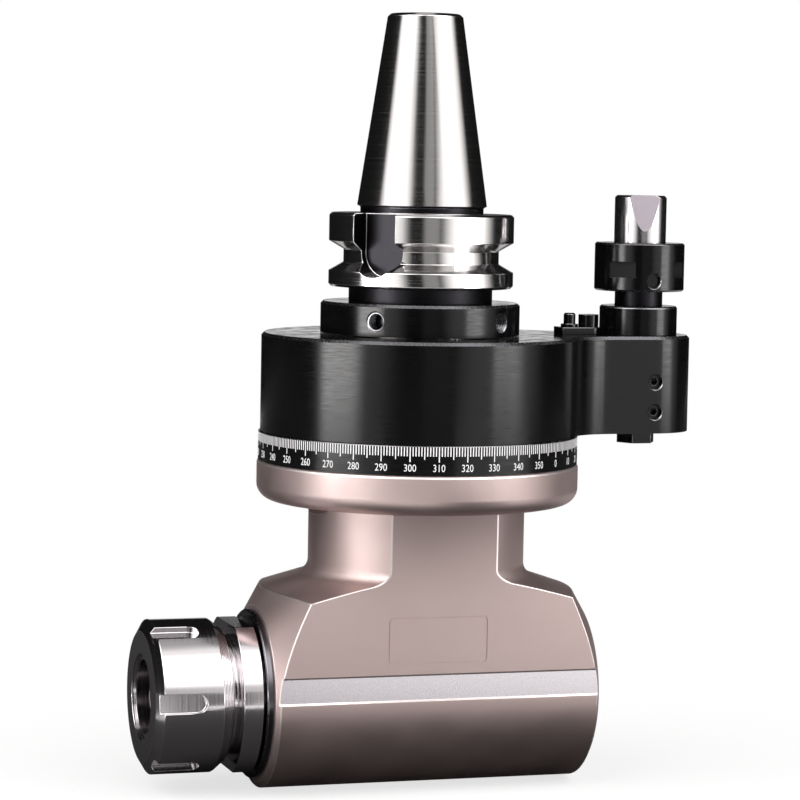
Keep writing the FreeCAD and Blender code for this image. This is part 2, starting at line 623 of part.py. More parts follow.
def bevel_gear(name, hub_top, key_length, first_space):
    """A straight bevel gear about local Z with its apex at the origin, facing down."""
    body = new_body(name)
    tip = cone_point(CONE_LENGTH, "0 - gear_module")
    inner_tip = cone_point(INNER_CONE, f"0 - gear_module * {INNER_SCALE}")
    back = cone_point(CONE_LENGTH, f"{DEDENDUM} + gear_back")
    turned(body, [(half("gear_seat_dia"), GEAR_FRONT), (GEAR_FRONT_RADIUS, GEAR_FRONT),
                  inner_tip, tip, back, (half("gear_hub_dia"), plus(back[1], "gear_step")),
                  (half("gear_hub_dia"), hub_top), (half("gear_seat_dia"), hub_top)])
    heights = (size(GEAR_FRONT) / 2, size(plus(back[1], "gear_step")))
    sections = []
    for number, height in enumerate(heights):
        sketch = sketch_on(body, "XY_Plane", f"{name}_space_{number}")
        sketch.AttachmentOffset = FreeCAD.Placement(
            FreeCAD.Vector(0, 0, height), FreeCAD.Rotation(FreeCAD.Vector(0, 0, 1), first_space))
        corners = [FreeCAD.Vector(x, y, 0) for x, y in tooth_space(height)]
        for i, corner in enumerate(corners):
            sketch.addGeometry(Part.LineSegment(corner, corners[(i + 1) % len(corners)]), False)
        sketch.Visibility = False
        sections.append(sketch)
    space = body.newObject("PartDesign::SubtractiveLoft", name + "_tooth_space")
    space.Profile = sections[0]
    space.Sections = sections[1:]
    space.Ruled = True
    polar(body, [space], "Z_Axis", "gear_teeth")
    keyway = sketch_on(body, "XY_Plane", name + "_keyway", ("0", "0", hub_top))
    outline(keyway, [("0", "0 - key_width / 2"), (KEY_CREST, "0 - key_width / 2"),
                     (KEY_CREST, "key_width / 2"), ("0", "key_width / 2")])
    extruded(body, keyway, key_length, kind="Pocket")
    return body


KEY_FLOOR = minus(half("gear_seat_dia"), "key_sink")
KEY_CREST = plus(KEY_FLOOR, "key_width")


def taper_shank():
    """Taper, gripper flange and input shaft in one turned piece, with two drive slots."""
    body = new_body("taper_shank")

    def taper_radius(height):
        return f"(taper_gauge_dia - taper_rate * ({height})) / 2"

    edge_level = minus("taper_length", "taper_edge")
    rim = half("flange_dia")
    vee_floor = half("vee_floor_dia")
    turned(body, [
        ("0", minus("taper_length", "stud_thread_depth")),
        (half("stud_core_dia"), minus("taper_length", "stud_thread_depth")),
        (half("stud_core_dia"), minus("taper_length", "stud_pilot_depth")),
        (half("stud_pilot_dia"), minus("taper_length", "stud_pilot_depth")),
        (half("stud_pilot_dia"), "taper_length"),
        (minus(taper_radius("taper_length"), "taper_edge"), "taper_length"),
        (taper_radius(edge_level), edge_level),
        (taper_radius("taper_foot"), "taper_foot"),
        (half("relief_dia"), "taper_foot - 0.6"),
        (half("relief_dia"), below("flange_gap")),
        (minus(rim, "flange_edge"), below("flange_gap")),
        (rim, below("flange_gap + flange_edge")),
        (rim, below("vee_level - vee_width / 2")),
        (vee_floor, below("vee_level - vee_floor_width / 2")),
        (vee_floor, below("vee_level + vee_floor_width / 2")),
        (rim, below("vee_level + vee_width / 2")),
        (rim, below(minus(FLANGE_BACK, "flange_edge"))),
        (minus(rim, "flange_edge"), below(FLANGE_BACK)),
        (half("shank_neck_dia"), below(FLANGE_BACK)),
        (half("shank_neck_dia"), below(COLLAR_FACE)),
        (half("seal_seat_dia"), below(COLLAR_FACE)),
        (half("seal_seat_dia"), below(MAIN_TOP)),
        (half("main_seat_dia"), below(MAIN_TOP)),
        (half("main_seat_dia"), below(minus(MAIN_BASE, SEAT_STEP))),
        (half("lower_seat_dia"), below(minus(MAIN_BASE, SEAT_STEP))),
        (half("lower_seat_dia"), below(minus("lower_bearing_base", SEAT_STEP))),
        (half("gear_seat_dia"), below(minus("lower_bearing_base", SEAT_STEP))),
        (half("gear_seat_dia"), below(INPUT_SHAFT_END)),
        (half("end_screw_core"), below(INPUT_SHAFT_END)),
        (half("end_screw_core"), below(minus(INPUT_SHAFT_END, "end_screw_length"))),
        ("0", below(minus(INPUT_SHAFT_END, "end_screw_length")))])
    slot = sketch_on(body, "XZ_Plane", "drive_slot",
                     radial_offset("drive_slot_turn", "drive_slot_floor"), "drive_slot_turn")
    slot_foot = plus("flange_gap", "drive_slot_depth")
    slot_end(slot, ("0", below(minus(slot_foot, half("drive_slot_width")))),
             half("drive_slot_width"), ("0", minus("drive_slot_depth", half("drive_slot_width"))
                                        + f" + {SPARE}"))
    cut = extruded(body, slot, "flange_dia", kind="Pocket", backwards=True)
    polar(body, [cut], "Z_Axis", "2")
    keyway = sketch_on(body, "YZ_Plane", "input_keyway", ("0", "0", KEY_FLOOR))
    low = below(plus("lower_bearing_base", "input_key_length"))
    outline(keyway, [("0 - key_width / 2", low), ("key_width / 2", low),
                     ("key_width / 2", below("lower_bearing_base")),
                     ("0 - key_width / 2", below("lower_bearing_base"))])
    extruded(body, keyway, "gear_seat_dia", kind="Pocket", backwards=True)


def radial_round(body, name, turn, radius, depth, dia, length, kind="Pocket"):
    """A round hole or plug that runs inwards from radius along a turned direction."""
    sketch = sketch_on(body, "XZ_Plane", name, radial_offset(turn, radius), turn)
    circle(sketch, ("0", below(depth)), half(dia))
    return extruded(body, sketch, length, kind=kind, backwards=kind == "Pad")


def positioning_collar():
    """Black collar clamped on the shaft by radial set screws under the flange."""
    body = new_body("positioning_collar")
    rim = half("collar_dia")
    turned(body, [
        (half("seal_seat_dia"), below(COLLAR_FACE)),
        (minus(rim, "collar_edge"), below(COLLAR_FACE)),
        (rim, below(plus(COLLAR_FACE, "collar_edge"))),
        (rim, below(COLLAR_BACK)),
        (half("seal_seat_dia"), below(COLLAR_BACK))])
    level = plus(COLLAR_FACE, "collar_hole_level")
    wall = "(collar_dia - seal_seat_dia) / 2"
    for number in range(2):
        turn = f"(collar_hole_turn + {number} * collar_hole_spread)"
        hole = radial_round(body, f"collar_hole_{number}", turn, rim, level,
                            "collar_hole_dia", wall)
        polar(body, [hole], "Z_Axis", "2")
    grubs = new_body("collar_set_screws")
    for number in range(2):
        turn = f"(collar_hole_turn + {number} * collar_hole_spread)"
        radius = plus(half("seal_seat_dia"), "collar_screw_length")
        plug = radial_round(grubs, f"collar_grub_{number}", turn, radius, level,
                            "collar_hole_dia", "collar_screw_length", kind="Pad")
        polar(grubs, [plug], "Z_Axis", "2")


def upright_bearings():
    """Races, spacer, retainer, seal and clip of the input shaft."""
    rows = (("main_bearing", "main_seat_dia", "main_bearing_dia", MAIN_TOP, MAIN_BASE),
            ("lower_bearing", "lower_seat_dia", "thin_bearing_dia", LOWER_TOP,
             "lower_bearing_base"))
    for name, bore, outside, top, base in rows:
        for inner, suffix in ((True, "_inner_race"), (False, "_outer_race")):
            body = new_body(name + suffix)
            bearing_ring(body, inner, bore, outside, below(top), below(base))
    spacer = new_body("shaft_spacer")
    outer = plus(half("lower_seat_dia"), "spacer_wall")
    turned(spacer, [(half("lower_seat_dia"), below(MAIN_BASE)), (outer, below(MAIN_BASE)),
                    (outer, below(LOWER_TOP)), (half("lower_seat_dia"), below(LOWER_TOP))])
    retainer = new_body("bearing_retainer")
    top = below(minus(MAIN_TOP, "retainer_height"))
    turned(retainer, [(half("seal_dia"), below(MAIN_TOP)), (half("seal_dia"), top),
                      (half("main_bearing_dia"), top),
                      (half("main_bearing_dia"), below(MAIN_TOP))])
    seal = new_body("input_seal")
    lip = plus(half("seal_seat_dia"), "running_gap")
    body_radius = plus(half("seal_seat_dia"), "seal_body")
    seal_foot = below(minus(MAIN_TOP, "seal_gap"))
    turned(seal, [(lip, top), (half("seal_dia"), top), (half("seal_dia"), seal_foot),
                  (body_radius, seal_foot), (lip, minus(top, "seal_lip"))])
    clip = new_body("lower_bearing_clip")
    clip_top = below(minus(LOWER_TOP, "clip_height"))
    turned(clip, [(minus(half("thin_bearing_dia"), "clip_lap"), below(LOWER_TOP)),
                  (half(INNER_BORE), below(LOWER_TOP)), (half(INNER_BORE), clip_top),
                  (minus(half("thin_bearing_dia"), "clip_lap"), clip_top)])
    gap = sketch_on(clip, "XY_Plane", "clip_gap", ("0", "0", clip_top))
    side = half("clip_opening")
    outline(gap, [("0", f"0 - {side}"), (INNER_BORE, f"0 - {side}"), (INNER_BORE, side),
                  ("0", side)])
    extruded(clip, gap, "2 * clip_height", kind="Pocket")


def gear_pair():
    """Both bevel gears, their keys, and the washer and screw under the input gear."""
    pitch_angle = 360.0 / size("gear_teeth")
    driver = bevel_gear("input_bevel_gear", INPUT_HUB_TOP, "input_key_length", pitch_angle / 2)
    driver.setExpression("Placement.Base.z", formula(below("spindle_drop")))
    driven = bevel_gear("output_bevel_gear", OUTPUT_HUB_TOP, OUTPUT_KEY_LENGTH, 0.0)
    driven.Placement = FreeCAD.Placement(
        FreeCAD.Vector(), FreeCAD.Rotation(FreeCAD.Vector(0, 1, 0), -90))
    driven.setExpression("Placement.Base.z", formula(below("spindle_drop")))
    box("input_gear_key", "key_width", "key_width", "input_key_length",
        (KEY_FLOOR, "0 - key_width / 2", below(plus("lower_bearing_base", "input_key_length"))))
    box("output_gear_key", OUTPUT_KEY_LENGTH, "key_width", "key_width",
        (below(OUTPUT_HUB_TOP), "0 - key_width / 2", minus(KEY_FLOOR, "spindle_drop")))
    washer = new_body("gear_washer", drop="spindle_drop")
    low = minus(GEAR_FRONT, "washer_height")
    core = half("end_screw_core")
    head = plus(core, "washer_height")
    turned(washer, [(head, low), (half("washer_dia"), low), (half("washer_dia"), GEAR_FRONT),
                    (core, GEAR_FRONT)])
    screw = new_body("gear_end_screw", drop="spindle_drop")
    tip = plus(GEAR_FRONT, "end_screw_length - end_screw_spare")
    socket = half("end_screw_socket")
    socket_floor = plus(low, "end_screw_sink")
    turned(screw, [("0", socket_floor), (socket, socket_floor), (socket, low), (head, low),
                   (core, GEAR_FRONT), (core, tip), ("0", tip)])


def head_body():
    """Machined body: flange and spigot above, neck, shoulder and a T shaped block below."""
    body = new_body("head_body", drop="spindle_drop")
    flat = half("body_width")
    end = BODY_END
    block_top = above_spindle(plus(RING_BASE, half("body_flange_height")))
    block = sketch_on(body, "YZ_Plane", "block", ("0", "0", f"0 - {end}"))
    outline(block, [(f"0 - {flat}", "0"), (flat, "0"), (flat, block_top),
                    (f"0 - {flat}", block_top)])
    extruded(body, block, "body_length")
    barrel = sketch_on(body, "YZ_Plane", "barrel", ("0", "0", f"0 - {end}"))
    circle(barrel, ("0", "0"), flat)
    extruded(body, barrel, "body_length")
    neck = half("body_neck_dia")
    outer = plus(end, FAR)
    shoulder = above_spindle("shoulder_level")
    drop = f"({outer} - {neck}) * tan(shoulder_slope)"
    turned(body, [(neck, block_top), (neck, shoulder), (outer, minus(shoulder, drop)),
                  (outer, block_top)], kind="Groove")
    dressed(body, "Fillet", lambda edge: (
        near(edge.BoundBox.ZMin, shoulder) and near(edge.BoundBox.ZMax, shoulder)
        and edge.Curve.TypeId == "Part::GeomCircle" and near(edge.Curve.Radius, neck)),
        "shoulder_round")
    face = half("end_face_dia")
    back = f"({end} - end_cone_rate * {FAR})"
    past = plus(end, SPARE)
    wide = plus(face, FAR)
    turned(body, [[(end, face), (back, wide), (past, wide), (past, face)],
                  [(f"0 - {end}", face), (f"0 - {back}", wide), (f"0 - {past}", wide),
                   (f"0 - {past}", face)]], axis="H_Axis", kind="Groove")
    foot = above_spindle(FLANGE_FOOT)
    seat = above_spindle(RING_BASE)
    rim = half(BODY_FLANGE_DIA)
    turned(body, [("0", foot), (rim, foot), (rim, minus(seat, "body_flange_edge")),
                  (minus(rim, "body_flange_edge"), seat), (half(RING_BORE), seat),
                  (half(RING_BORE), plus(seat, "register_height")),
                  (half(SPIGOT_DIA), plus(seat, "register_height")),
                  (half(SPIGOT_DIA), above_spindle(SPIGOT_TOP)),
                  ("0", above_spindle(SPIGOT_TOP))])
    dressed(body, "Fillet", lambda edge: (
        edge.Curve.TypeId == "Part::GeomCircle" and near(edge.Curve.Radius, rim)
        and near(edge.BoundBox.ZMin, foot) and near(edge.BoundBox.ZMax, foot)),
        "body_flange_round")
    bearing = half("thin_bearing_dia")
    clip_top = minus(LOWER_TOP, "clip_height")
    turned(body, [
        ("0", plus(above_spindle(SPIGOT_TOP), SPARE)),
        (half("main_bearing_dia"), plus(above_spindle(SPIGOT_TOP), SPARE)),
        (half("main_bearing_dia"), above_spindle(MAIN_BASE)),
        (bearing, above_spindle(MAIN_BASE)),
        (bearing, above_spindle(clip_top)), (half(INNER_BORE), above_spindle(clip_top)),
        (half(INNER_BORE), above_spindle(LOWER_TOP)), (bearing, above_spindle(LOWER_TOP)),
        (bearing, above_spindle("lower_bearing_base")),
        (half(CHAMBER_DIA), above_spindle("lower_bearing_base")),
        (half(CHAMBER_DIA), "0"), ("0", "0")], kind="Groove")
    nose_end = f"(0 - {end} - {SPARE})"
    front_step = below(OUTPUT_HUB_TOP)
    web = minus("rear_bearing_reach", "rear_web")
    pocket_floor = minus(end, "cover_height")
    cover_bore = plus(half("cover_dia"), "cover_play")
    turned(body, [
        (nose_end, "0"), (nose_end, bearing), (front_step, bearing),
        (front_step, half(CHAMBER_DIA)), (web, half(CHAMBER_DIA)),
        (web, half("rear_bearing_dia")), (pocket_floor, half("rear_bearing_dia")),
        (pocket_floor, cover_bore), (past, cover_bore), (past, "0")],
        axis="H_Axis", kind="Groove")
    strip = sketch_on(body, "XZ_Plane", "ground_strip", ("0", "0", minus(flat, "strip_depth")))
    strip_top = above_spindle("strip_level")
    strip_foot = minus(strip_top, "strip_height")
    outline(strip, [(f"0 - {past}", strip_foot), (past, strip_foot), (past, strip_top),
                    (f"0 - {past}", strip_top)])
    extruded(body, strip, plus("strip_depth", SPARE), kind="Pocket", backwards=True)
    holes = sketch_on(body, "XY_Plane", "clamp_holes", ("0", "0", foot))
    sinks = sketch_on(body, "XY_Plane", "clamp_sinks", ("0", "0", foot))
    for spot in CLAMP_SPOTS:
        circle(holes, spot, half("clamp_screw_dia"))
        circle(sinks, spot, plus(half("clamp_head_dia"), "clamp_sink_play"))
    extruded(body, holes, plus("body_flange_height", "register_height", SPARE), kind="Pocket",
             backwards=True)
    extruded(body, sinks, "clamp_head_height + running_gap", kind="Pocket", backwards=True)
    taps = sketch_on(body, "YZ_Plane", "cover_taps", ("0", "0", pocket_floor))
    for spot in COVER_SPOTS:
        circle(taps, spot, half("cover_screw_dia"))
    extruded(body, taps, "cover_screw_length + tap_spare", kind="Pocket")


CLAMP_SPOTS = spots_on_circle(CLAMP_CIRCLE, ["(90 - clamp_spread)", "(90 + clamp_spread)",
                                             "(270 - clamp_spread)", "(270 + clamp_spread)"])
COVER_SPOTS = spots_on_circle("cover_screw_circle", ["45", "135", "225", "315"])


def scale_ring():
    """Graduated ring on the body's flange, centred by its register."""
    ring = new_body("scale_ring")
    rim = half(RING_DIA)
    turned(ring, [(half(RING_BORE), below(RING_BASE)), (rim, below(RING_BASE)),
                  (rim, below(plus(RING_TOP, "ring_edge"))),
                  (minus(rim, "ring_edge"), below(RING_TOP)),
                  (half(RING_BORE), below(RING_TOP))])


def clamp_shoes():
    """Two arc shoes in the housing's groove, drawn down by screws from under the flange."""
    shoes = new_body("clamp_shoes")
    for number, middle in enumerate((90, 270)):
        sketch = sketch_on(shoes, "XY_Plane", f"shoe_{number}", ("0", "0", below(SHOE_BASE)))
        arc_outline(sketch, half(SHOE_BORE), half(SHOE_DIA),
                    math.radians(middle - size("shoe_span") / 2),
                    math.radians(middle + size("shoe_span") / 2))
        extruded(shoes, sketch, "shoe_height")
    taps = sketch_on(shoes, "XY_Plane", "shoe_taps", ("0", "0", below(SHOE_TOP)))
    for spot in CLAMP_SPOTS:
        circle(taps, spot, half("clamp_screw_dia"))
    extruded(shoes, taps, "shoe_height", kind="Pocket")
    bolts = new_body("clamp_screws")
    seat = minus(FLANGE_FOOT, "clamp_head_height + running_gap")
    bolts.Placement = FreeCAD.Placement(
        FreeCAD.Vector(), FreeCAD.Rotation(FreeCAD.Vector(1, 0, 0), 180))
    bolts.setExpression("Placement.Base.z", formula(below(seat)))
    screws(bolts, CLAMP_SPOTS, "clamp_screw_dia", minus(seat, SHOE_TOP, "tap_spare"), "clamp_key",
           "clamp_head_dia", "clamp_head_height")


def arc_outline(sketch, inner, outer, start, end):
    """A ring sector between two radii and two angles in radians."""
    centre, upright = FreeCAD.Vector(), FreeCAD.Vector(0, 0, 1)
    first = sketch.GeometryCount
    arcs = [Part.ArcOfCircle(Part.Circle(centre, upright, size(radius)), start, end)
            for radius in (inner, outer)]
    ends = [(arc.StartPoint, arc.EndPoint) for arc in arcs]
    sides = [Part.LineSegment(ends[0][i], ends[1][i]) for i in range(2)]
    sketch.addGeometry(arcs + sides, False)
    sketch.addConstraint([
        Sketcher.Constraint("Coincident", first, 3, -1, 1),
        Sketcher.Constraint("Coincident", first + 1, 3, -1, 1),
        Sketcher.Constraint("Coincident", first + 2, 1, first, 1),
        Sketcher.Constraint("Coincident", first + 2, 2, first + 1, 1),
        Sketcher.Constraint("Coincident", first + 3, 1, first, 2),
        Sketcher.Constraint("Coincident", first + 3, 2, first + 1, 2)])
    for element, radius in ((first, inner), (first + 1, outer)):
        number = sketch.addConstraint(Sketcher.Constraint("Radius", element, size(radius)))
        sketch.setExpression(f"Constraints[{number}]", formula(radius))


def stop_housing():
    """Black swivelling housing with the stop arm, hollow over spigot and clamp shoes."""
    body = new_body("stop_housing")
    base = below(HOUSING_BASE)
    drum = sketch_on(body, "XY_Plane", "drum", ("0", "0", base))
    circle(drum, ("0", "0"), half(HOUSING_DIA))
    extruded(body, drum, "housing_height")
    arm = sketch_on(body, "XY_Plane", "arm", ("0", "0", base))
    slot_end(arm, ("pin_reach", "0"), half("arm_width"), ("0 - pin_reach", "0"))
    extruded(body, arm, "housing_height")
    rim = half(HOUSING_DIA)
    dressed(body, "Fillet", lambda edge: (
        edge.Curve.TypeId == "Part::GeomLine" and near(edge.BoundBox.ZMin, base)
        and near(edge.Length, "housing_height")
        and near(abs(edge.CenterOfMass.y), half("arm_width"))
        and near(math.hypot(edge.CenterOfMass.x, edge.CenterOfMass.y), rim)),
        "arm_root_radius")
    roof = below(HOUSING_TOP)
    dressed(body, "Chamfer", lambda edge: (
        near(edge.BoundBox.ZMin, roof) and near(edge.BoundBox.ZMax, roof)), "housing_edge")
    bore = plus(half(SPIGOT_DIA), "running_gap")
    chamber = plus(half(SHOE_DIA), "running_gap")
    shaft = plus(half("seal_seat_dia"), "running_gap")
    ceiling = minus(roof, "housing_roof")
    shoe_ceiling = below(minus(SHOE_TOP, "running_gap"))
    turned(body, [
        ("0", plus(roof, SPARE)), (shaft, plus(roof, SPARE)), (shaft, ceiling),
        (bore, ceiling), (bore, shoe_ceiling), (chamber, shoe_ceiling),
        (chamber, below(LIP_TOP)), (half(LIP_BORE), below(LIP_TOP)),
        (half(LIP_BORE), minus(base, SPARE)), ("0", minus(base, SPARE))], kind="Groove")
    well = sketch_on(body, "XY_Plane", "pin_well", ("0", "0", roof))
    circle(well, ("pin_reach", "0"), half(GUIDE_BORE))
    extruded(body, well, minus(PLUG_TOP, HOUSING_TOP), kind="Pocket")
    tap = sketch_on(body, "XY_Plane", "plug_tap", ("0", "0", base))
    circle(tap, ("pin_reach", "0"), half("plug_dia"))
    extruded(body, tap, plus("plug_length", SPARE), kind="Pocket", backwards=True)
    front = sketch_on(body, "XZ_Plane", "arm_screw_taps", ("0", "0", half("arm_width")))
    circle(front, ("pin_reach", below("stop_screw_level")), half("grub_dia"))
    extruded(body, front, minus(half("arm_width"), "arm_tap_end"), kind="Pocket")
    lock = sketch_on(body, "XZ_Plane", "lock_screw_tap", ("0", "0", half("arm_width")))
    circle(lock, ("pin_reach", below("lock_screw_level")), half("grub_dia"))
    extruded(body, lock, minus(half("arm_width"), "arm_tap_end"), kind="Pocket")
    plate_tap = sketch_on(body, "XY_Plane", "plate_tap", ("0", "0", roof))
    circle(plate_tap, ("plate_screw_reach", "0"), half("plate_screw_core"))
    extruded(body, plate_tap, "plate_screw_length", kind="Pocket")


def stop_pin():
    """Sprung stop pin with its collar, guide sleeve, spring, plug and set screws."""
    pin = new_body("stop_pin")
    pin.Placement.Rotation = FreeCAD.Rotation(
        FreeCAD.Vector(0, 0, 1), size("pin_bevel_turn - 90"))
    pin.setExpression("Placement.Base.x", formula("pin_reach"))
    top, seat, neck = half("pin_dia"), half("pin_seat_dia"), half("pin_neck_dia")
    well = half("spring_well_dia")
    turned(pin, [
        ("0", "pin_rise"), (minus(top, "pin_edge"), "pin_rise"),
        (top, minus("pin_rise", "pin_edge")), (top, below("pin_collar_level")),
        (seat, below("pin_collar_level")), (seat, below(PIN_COLLAR_BASE)),
        (neck, below(PIN_COLLAR_BASE)), (neck, below("pin_foot")), (well, below("pin_foot")),
        (well, below("spring_well_top")), ("0", below("spring_well_top"))])
    facet = sketch_on(pin, "XZ_Plane", "lead_in", ("0", "0", f"0 - {top}"))
    outline(facet, [(minus(top, "pin_bevel_depth"), plus("pin_rise", SPARE)),
                    (minus(top, "pin_bevel_depth"), "pin_rise"),
                    (top, minus("pin_rise", "pin_bevel_length")),
                    (plus(top, SPARE), minus("pin_rise", "pin_bevel_length")),
                    (plus(top, SPARE), plus("pin_rise", SPARE))])
    extruded(pin, facet, "pin_dia", kind="Pocket", backwards=True)
    dog = plus(half("grub_dia"), "running_gap")
    front = "(90 - pin_bevel_turn)"
    slot = sketch_on(pin, "XZ_Plane", "stop_slot",
                     radial_offset(front, minus(neck, "pin_slot_depth")), front)
    low = below(plus("stop_screw_level", dog))
    high = below(minus("stop_screw_level", dog, "pin_travel"))
    outline(slot, [(f"0 - {dog}", low), (dog, low), (dog, high), (f"0 - {dog}", high)])
    extruded(pin, slot, "pin_dia", kind="Pocket", backwards=True)

    collar = new_body("pin_collar", reach="pin_reach")
    rim = half("pin_collar_dia")
    upper, lower = below("pin_collar_level"), below(PIN_COLLAR_BASE)
    turned(collar, [(seat, upper), (minus(rim, "pin_collar_edge"), upper),
                    (rim, minus(upper, "pin_collar_edge")),
                    (rim, plus(lower, "pin_collar_edge")),
                    (minus(rim, "pin_collar_edge"), lower), (seat, lower)])
    recess = sketch_on(collar, "XZ_Plane", "spanner_recess",
                       radial_offset("recess_turn", minus(rim, "recess_depth")), "recess_turn")
    side = half("recess_width")
    crest = below("recess_level")
    floor = minus(crest, "recess_height")
    outline(recess, [(f"0 - {side}", floor), (side, floor), (side, crest),
                     (f"0 - {side}", crest)])
    cut = extruded(collar, recess, plus("recess_depth", SPARE), kind="Pocket", backwards=True)
    polar(collar, [cut], "Z_Axis", "4")
    radial_round(collar, "collar_grub_hole", "collar_grub_turn", rim, "collar_grub_level",
                 "grub_dia", minus(rim, seat))
    grub = new_body("pin_collar_screw", reach="pin_reach")
    radial_round(grub, "collar_grub", "collar_grub_turn", minus(rim, "pin_screw_sink"),
                 "collar_grub_level", "grub_dia", minus(rim, seat, "pin_screw_sink"),
                 kind="Pad")

    guide = new_body("pin_guide_sleeve", reach="pin_reach")
    outer = half("guide_dia")
    turned(guide, [(half(GUIDE_BORE), below(HOUSING_TOP)), (outer, below(HOUSING_TOP)),
                   (outer, minus(below(GUIDE_TOP), "guide_edge")),
                   (minus(outer, "guide_edge"), below(GUIDE_TOP)),
                   (half(GUIDE_BORE), below(GUIDE_TOP))])

    plug = new_body("spring_plug", reach="pin_reach")
    head = sketch_on(plug, "XY_Plane", "plug_head_outline", ("0", "0", below(HOUSING_BASE)))
    hexagon(head, ("0", "0"), "plug_flats")
    extruded(plug, head, "plug_head", backwards=True)
    stem = sketch_on(plug, "XY_Plane", "plug_stem", ("0", "0", below(HOUSING_BASE)))
    circle(stem, ("0", "0"), half("plug_dia"))
    extruded(plug, stem, "plug_length")

    spring = doc.addObject("Part::Feature", "pin_spring")
    spring.Label = "pin_spring"
    wire = size("spring_wire")
    coil = size("spring_dia") / 2 - wire / 2
    low = size(below(PLUG_TOP)) + wire / 2 + size("spring_end_gap")
    height = size(below("spring_well_top")) - wire / 2 - size("spring_end_gap") - low
    path = Part.makeHelix(height / size("spring_turns"), height, coil)
    section = Part.makePolygon([
        FreeCAD.Vector(coil + across * wire / 2, 0, rise * wire / 2)
        for across, rise in ((-1, -1), (1, -1), (1, 1), (-1, 1), (-1, -1))])
    spring.Shape = Part.Wire(path).makePipeShell([section], True, True)
    spring.Placement.Base = FreeCAD.Vector(size("pin_reach"), 0, low)
    subparts.append(spring)

    set_screws = new_body("arm_set_screws", reach="pin_reach")
    outer_end = minus(half("arm_width"), "arm_screw_sink")
    for name, level, tip in (
            ("stop", "stop_screw_level", plus(minus(neck, "pin_slot_depth"), "running_gap")),
            ("lock", "lock_screw_level", half(GUIDE_BORE))):
        sketch = sketch_on(set_screws, "XZ_Plane", name + "_screw", ("0", "0", outer_end))
        circle(sketch, ("0", below(level)), half("grub_dia"))
        extruded(set_screws, sketch, minus(outer_end, tip), backwards=True)
        socket = sketch_on(set_screws, "XZ_Plane", name + "_socket", ("0", "0", outer_end))
        hexagon(socket, ("0", below(level)), "grub_key")
        extruded(set_screws, socket, "grub_key", kind="Pocket")


def latch_plate():
    """Small plate on the arm's root with a post and a cap screw."""
    plate = new_body("latch_plate", drop=HOUSING_TOP)
    side = half("plate_width")
    far = minus(plus("plate_reach", "plate_length"), side)
    face = sketch_on(plate, "XY_Plane", "plate_outline")
    slot_end(face, (far, "0"), side, (minus("plate_reach", far), "0"))
    extruded(plate, face, "plate_height")
    hole = sketch_on(plate, "XY_Plane", "plate_hole", ("0", "0", "plate_height"))
    circle(hole, ("plate_screw_reach", "0"), half("plate_screw_core"))
    circle(hole, ("post_reach", "0"), half("post_dia"))
    extruded(plate, hole, "plate_height", kind="Pocket")
    post = new_body("latch_post", drop=HOUSING_TOP, reach="post_reach")
    rise = plus("plate_height", "post_height")
    turned(post, [("0", "0"), (half("post_dia"), "0"), (half("post_dia"), "plate_height"),
                  (half("post_base_dia"), "plate_height"),
                  (half("post_base_dia"), plus("plate_height", "post_base_height")),
                  (half("post_dia"), plus("plate_height", "post_base_height")),
                  (half("post_dia"), minus(rise, "post_edge")),
                  (minus(half("post_dia"), "post_edge"), rise),
                  ("0", rise)])
    screw = new_body("latch_plate_screw", drop=PLATE_TOP, reach="plate_screw_reach")
    screws(screw, [("0", "0")], "plate_screw_core", "plate_screw_length", "plate_screw_key",
           "plate_screw_head", "plate_screw_rise")


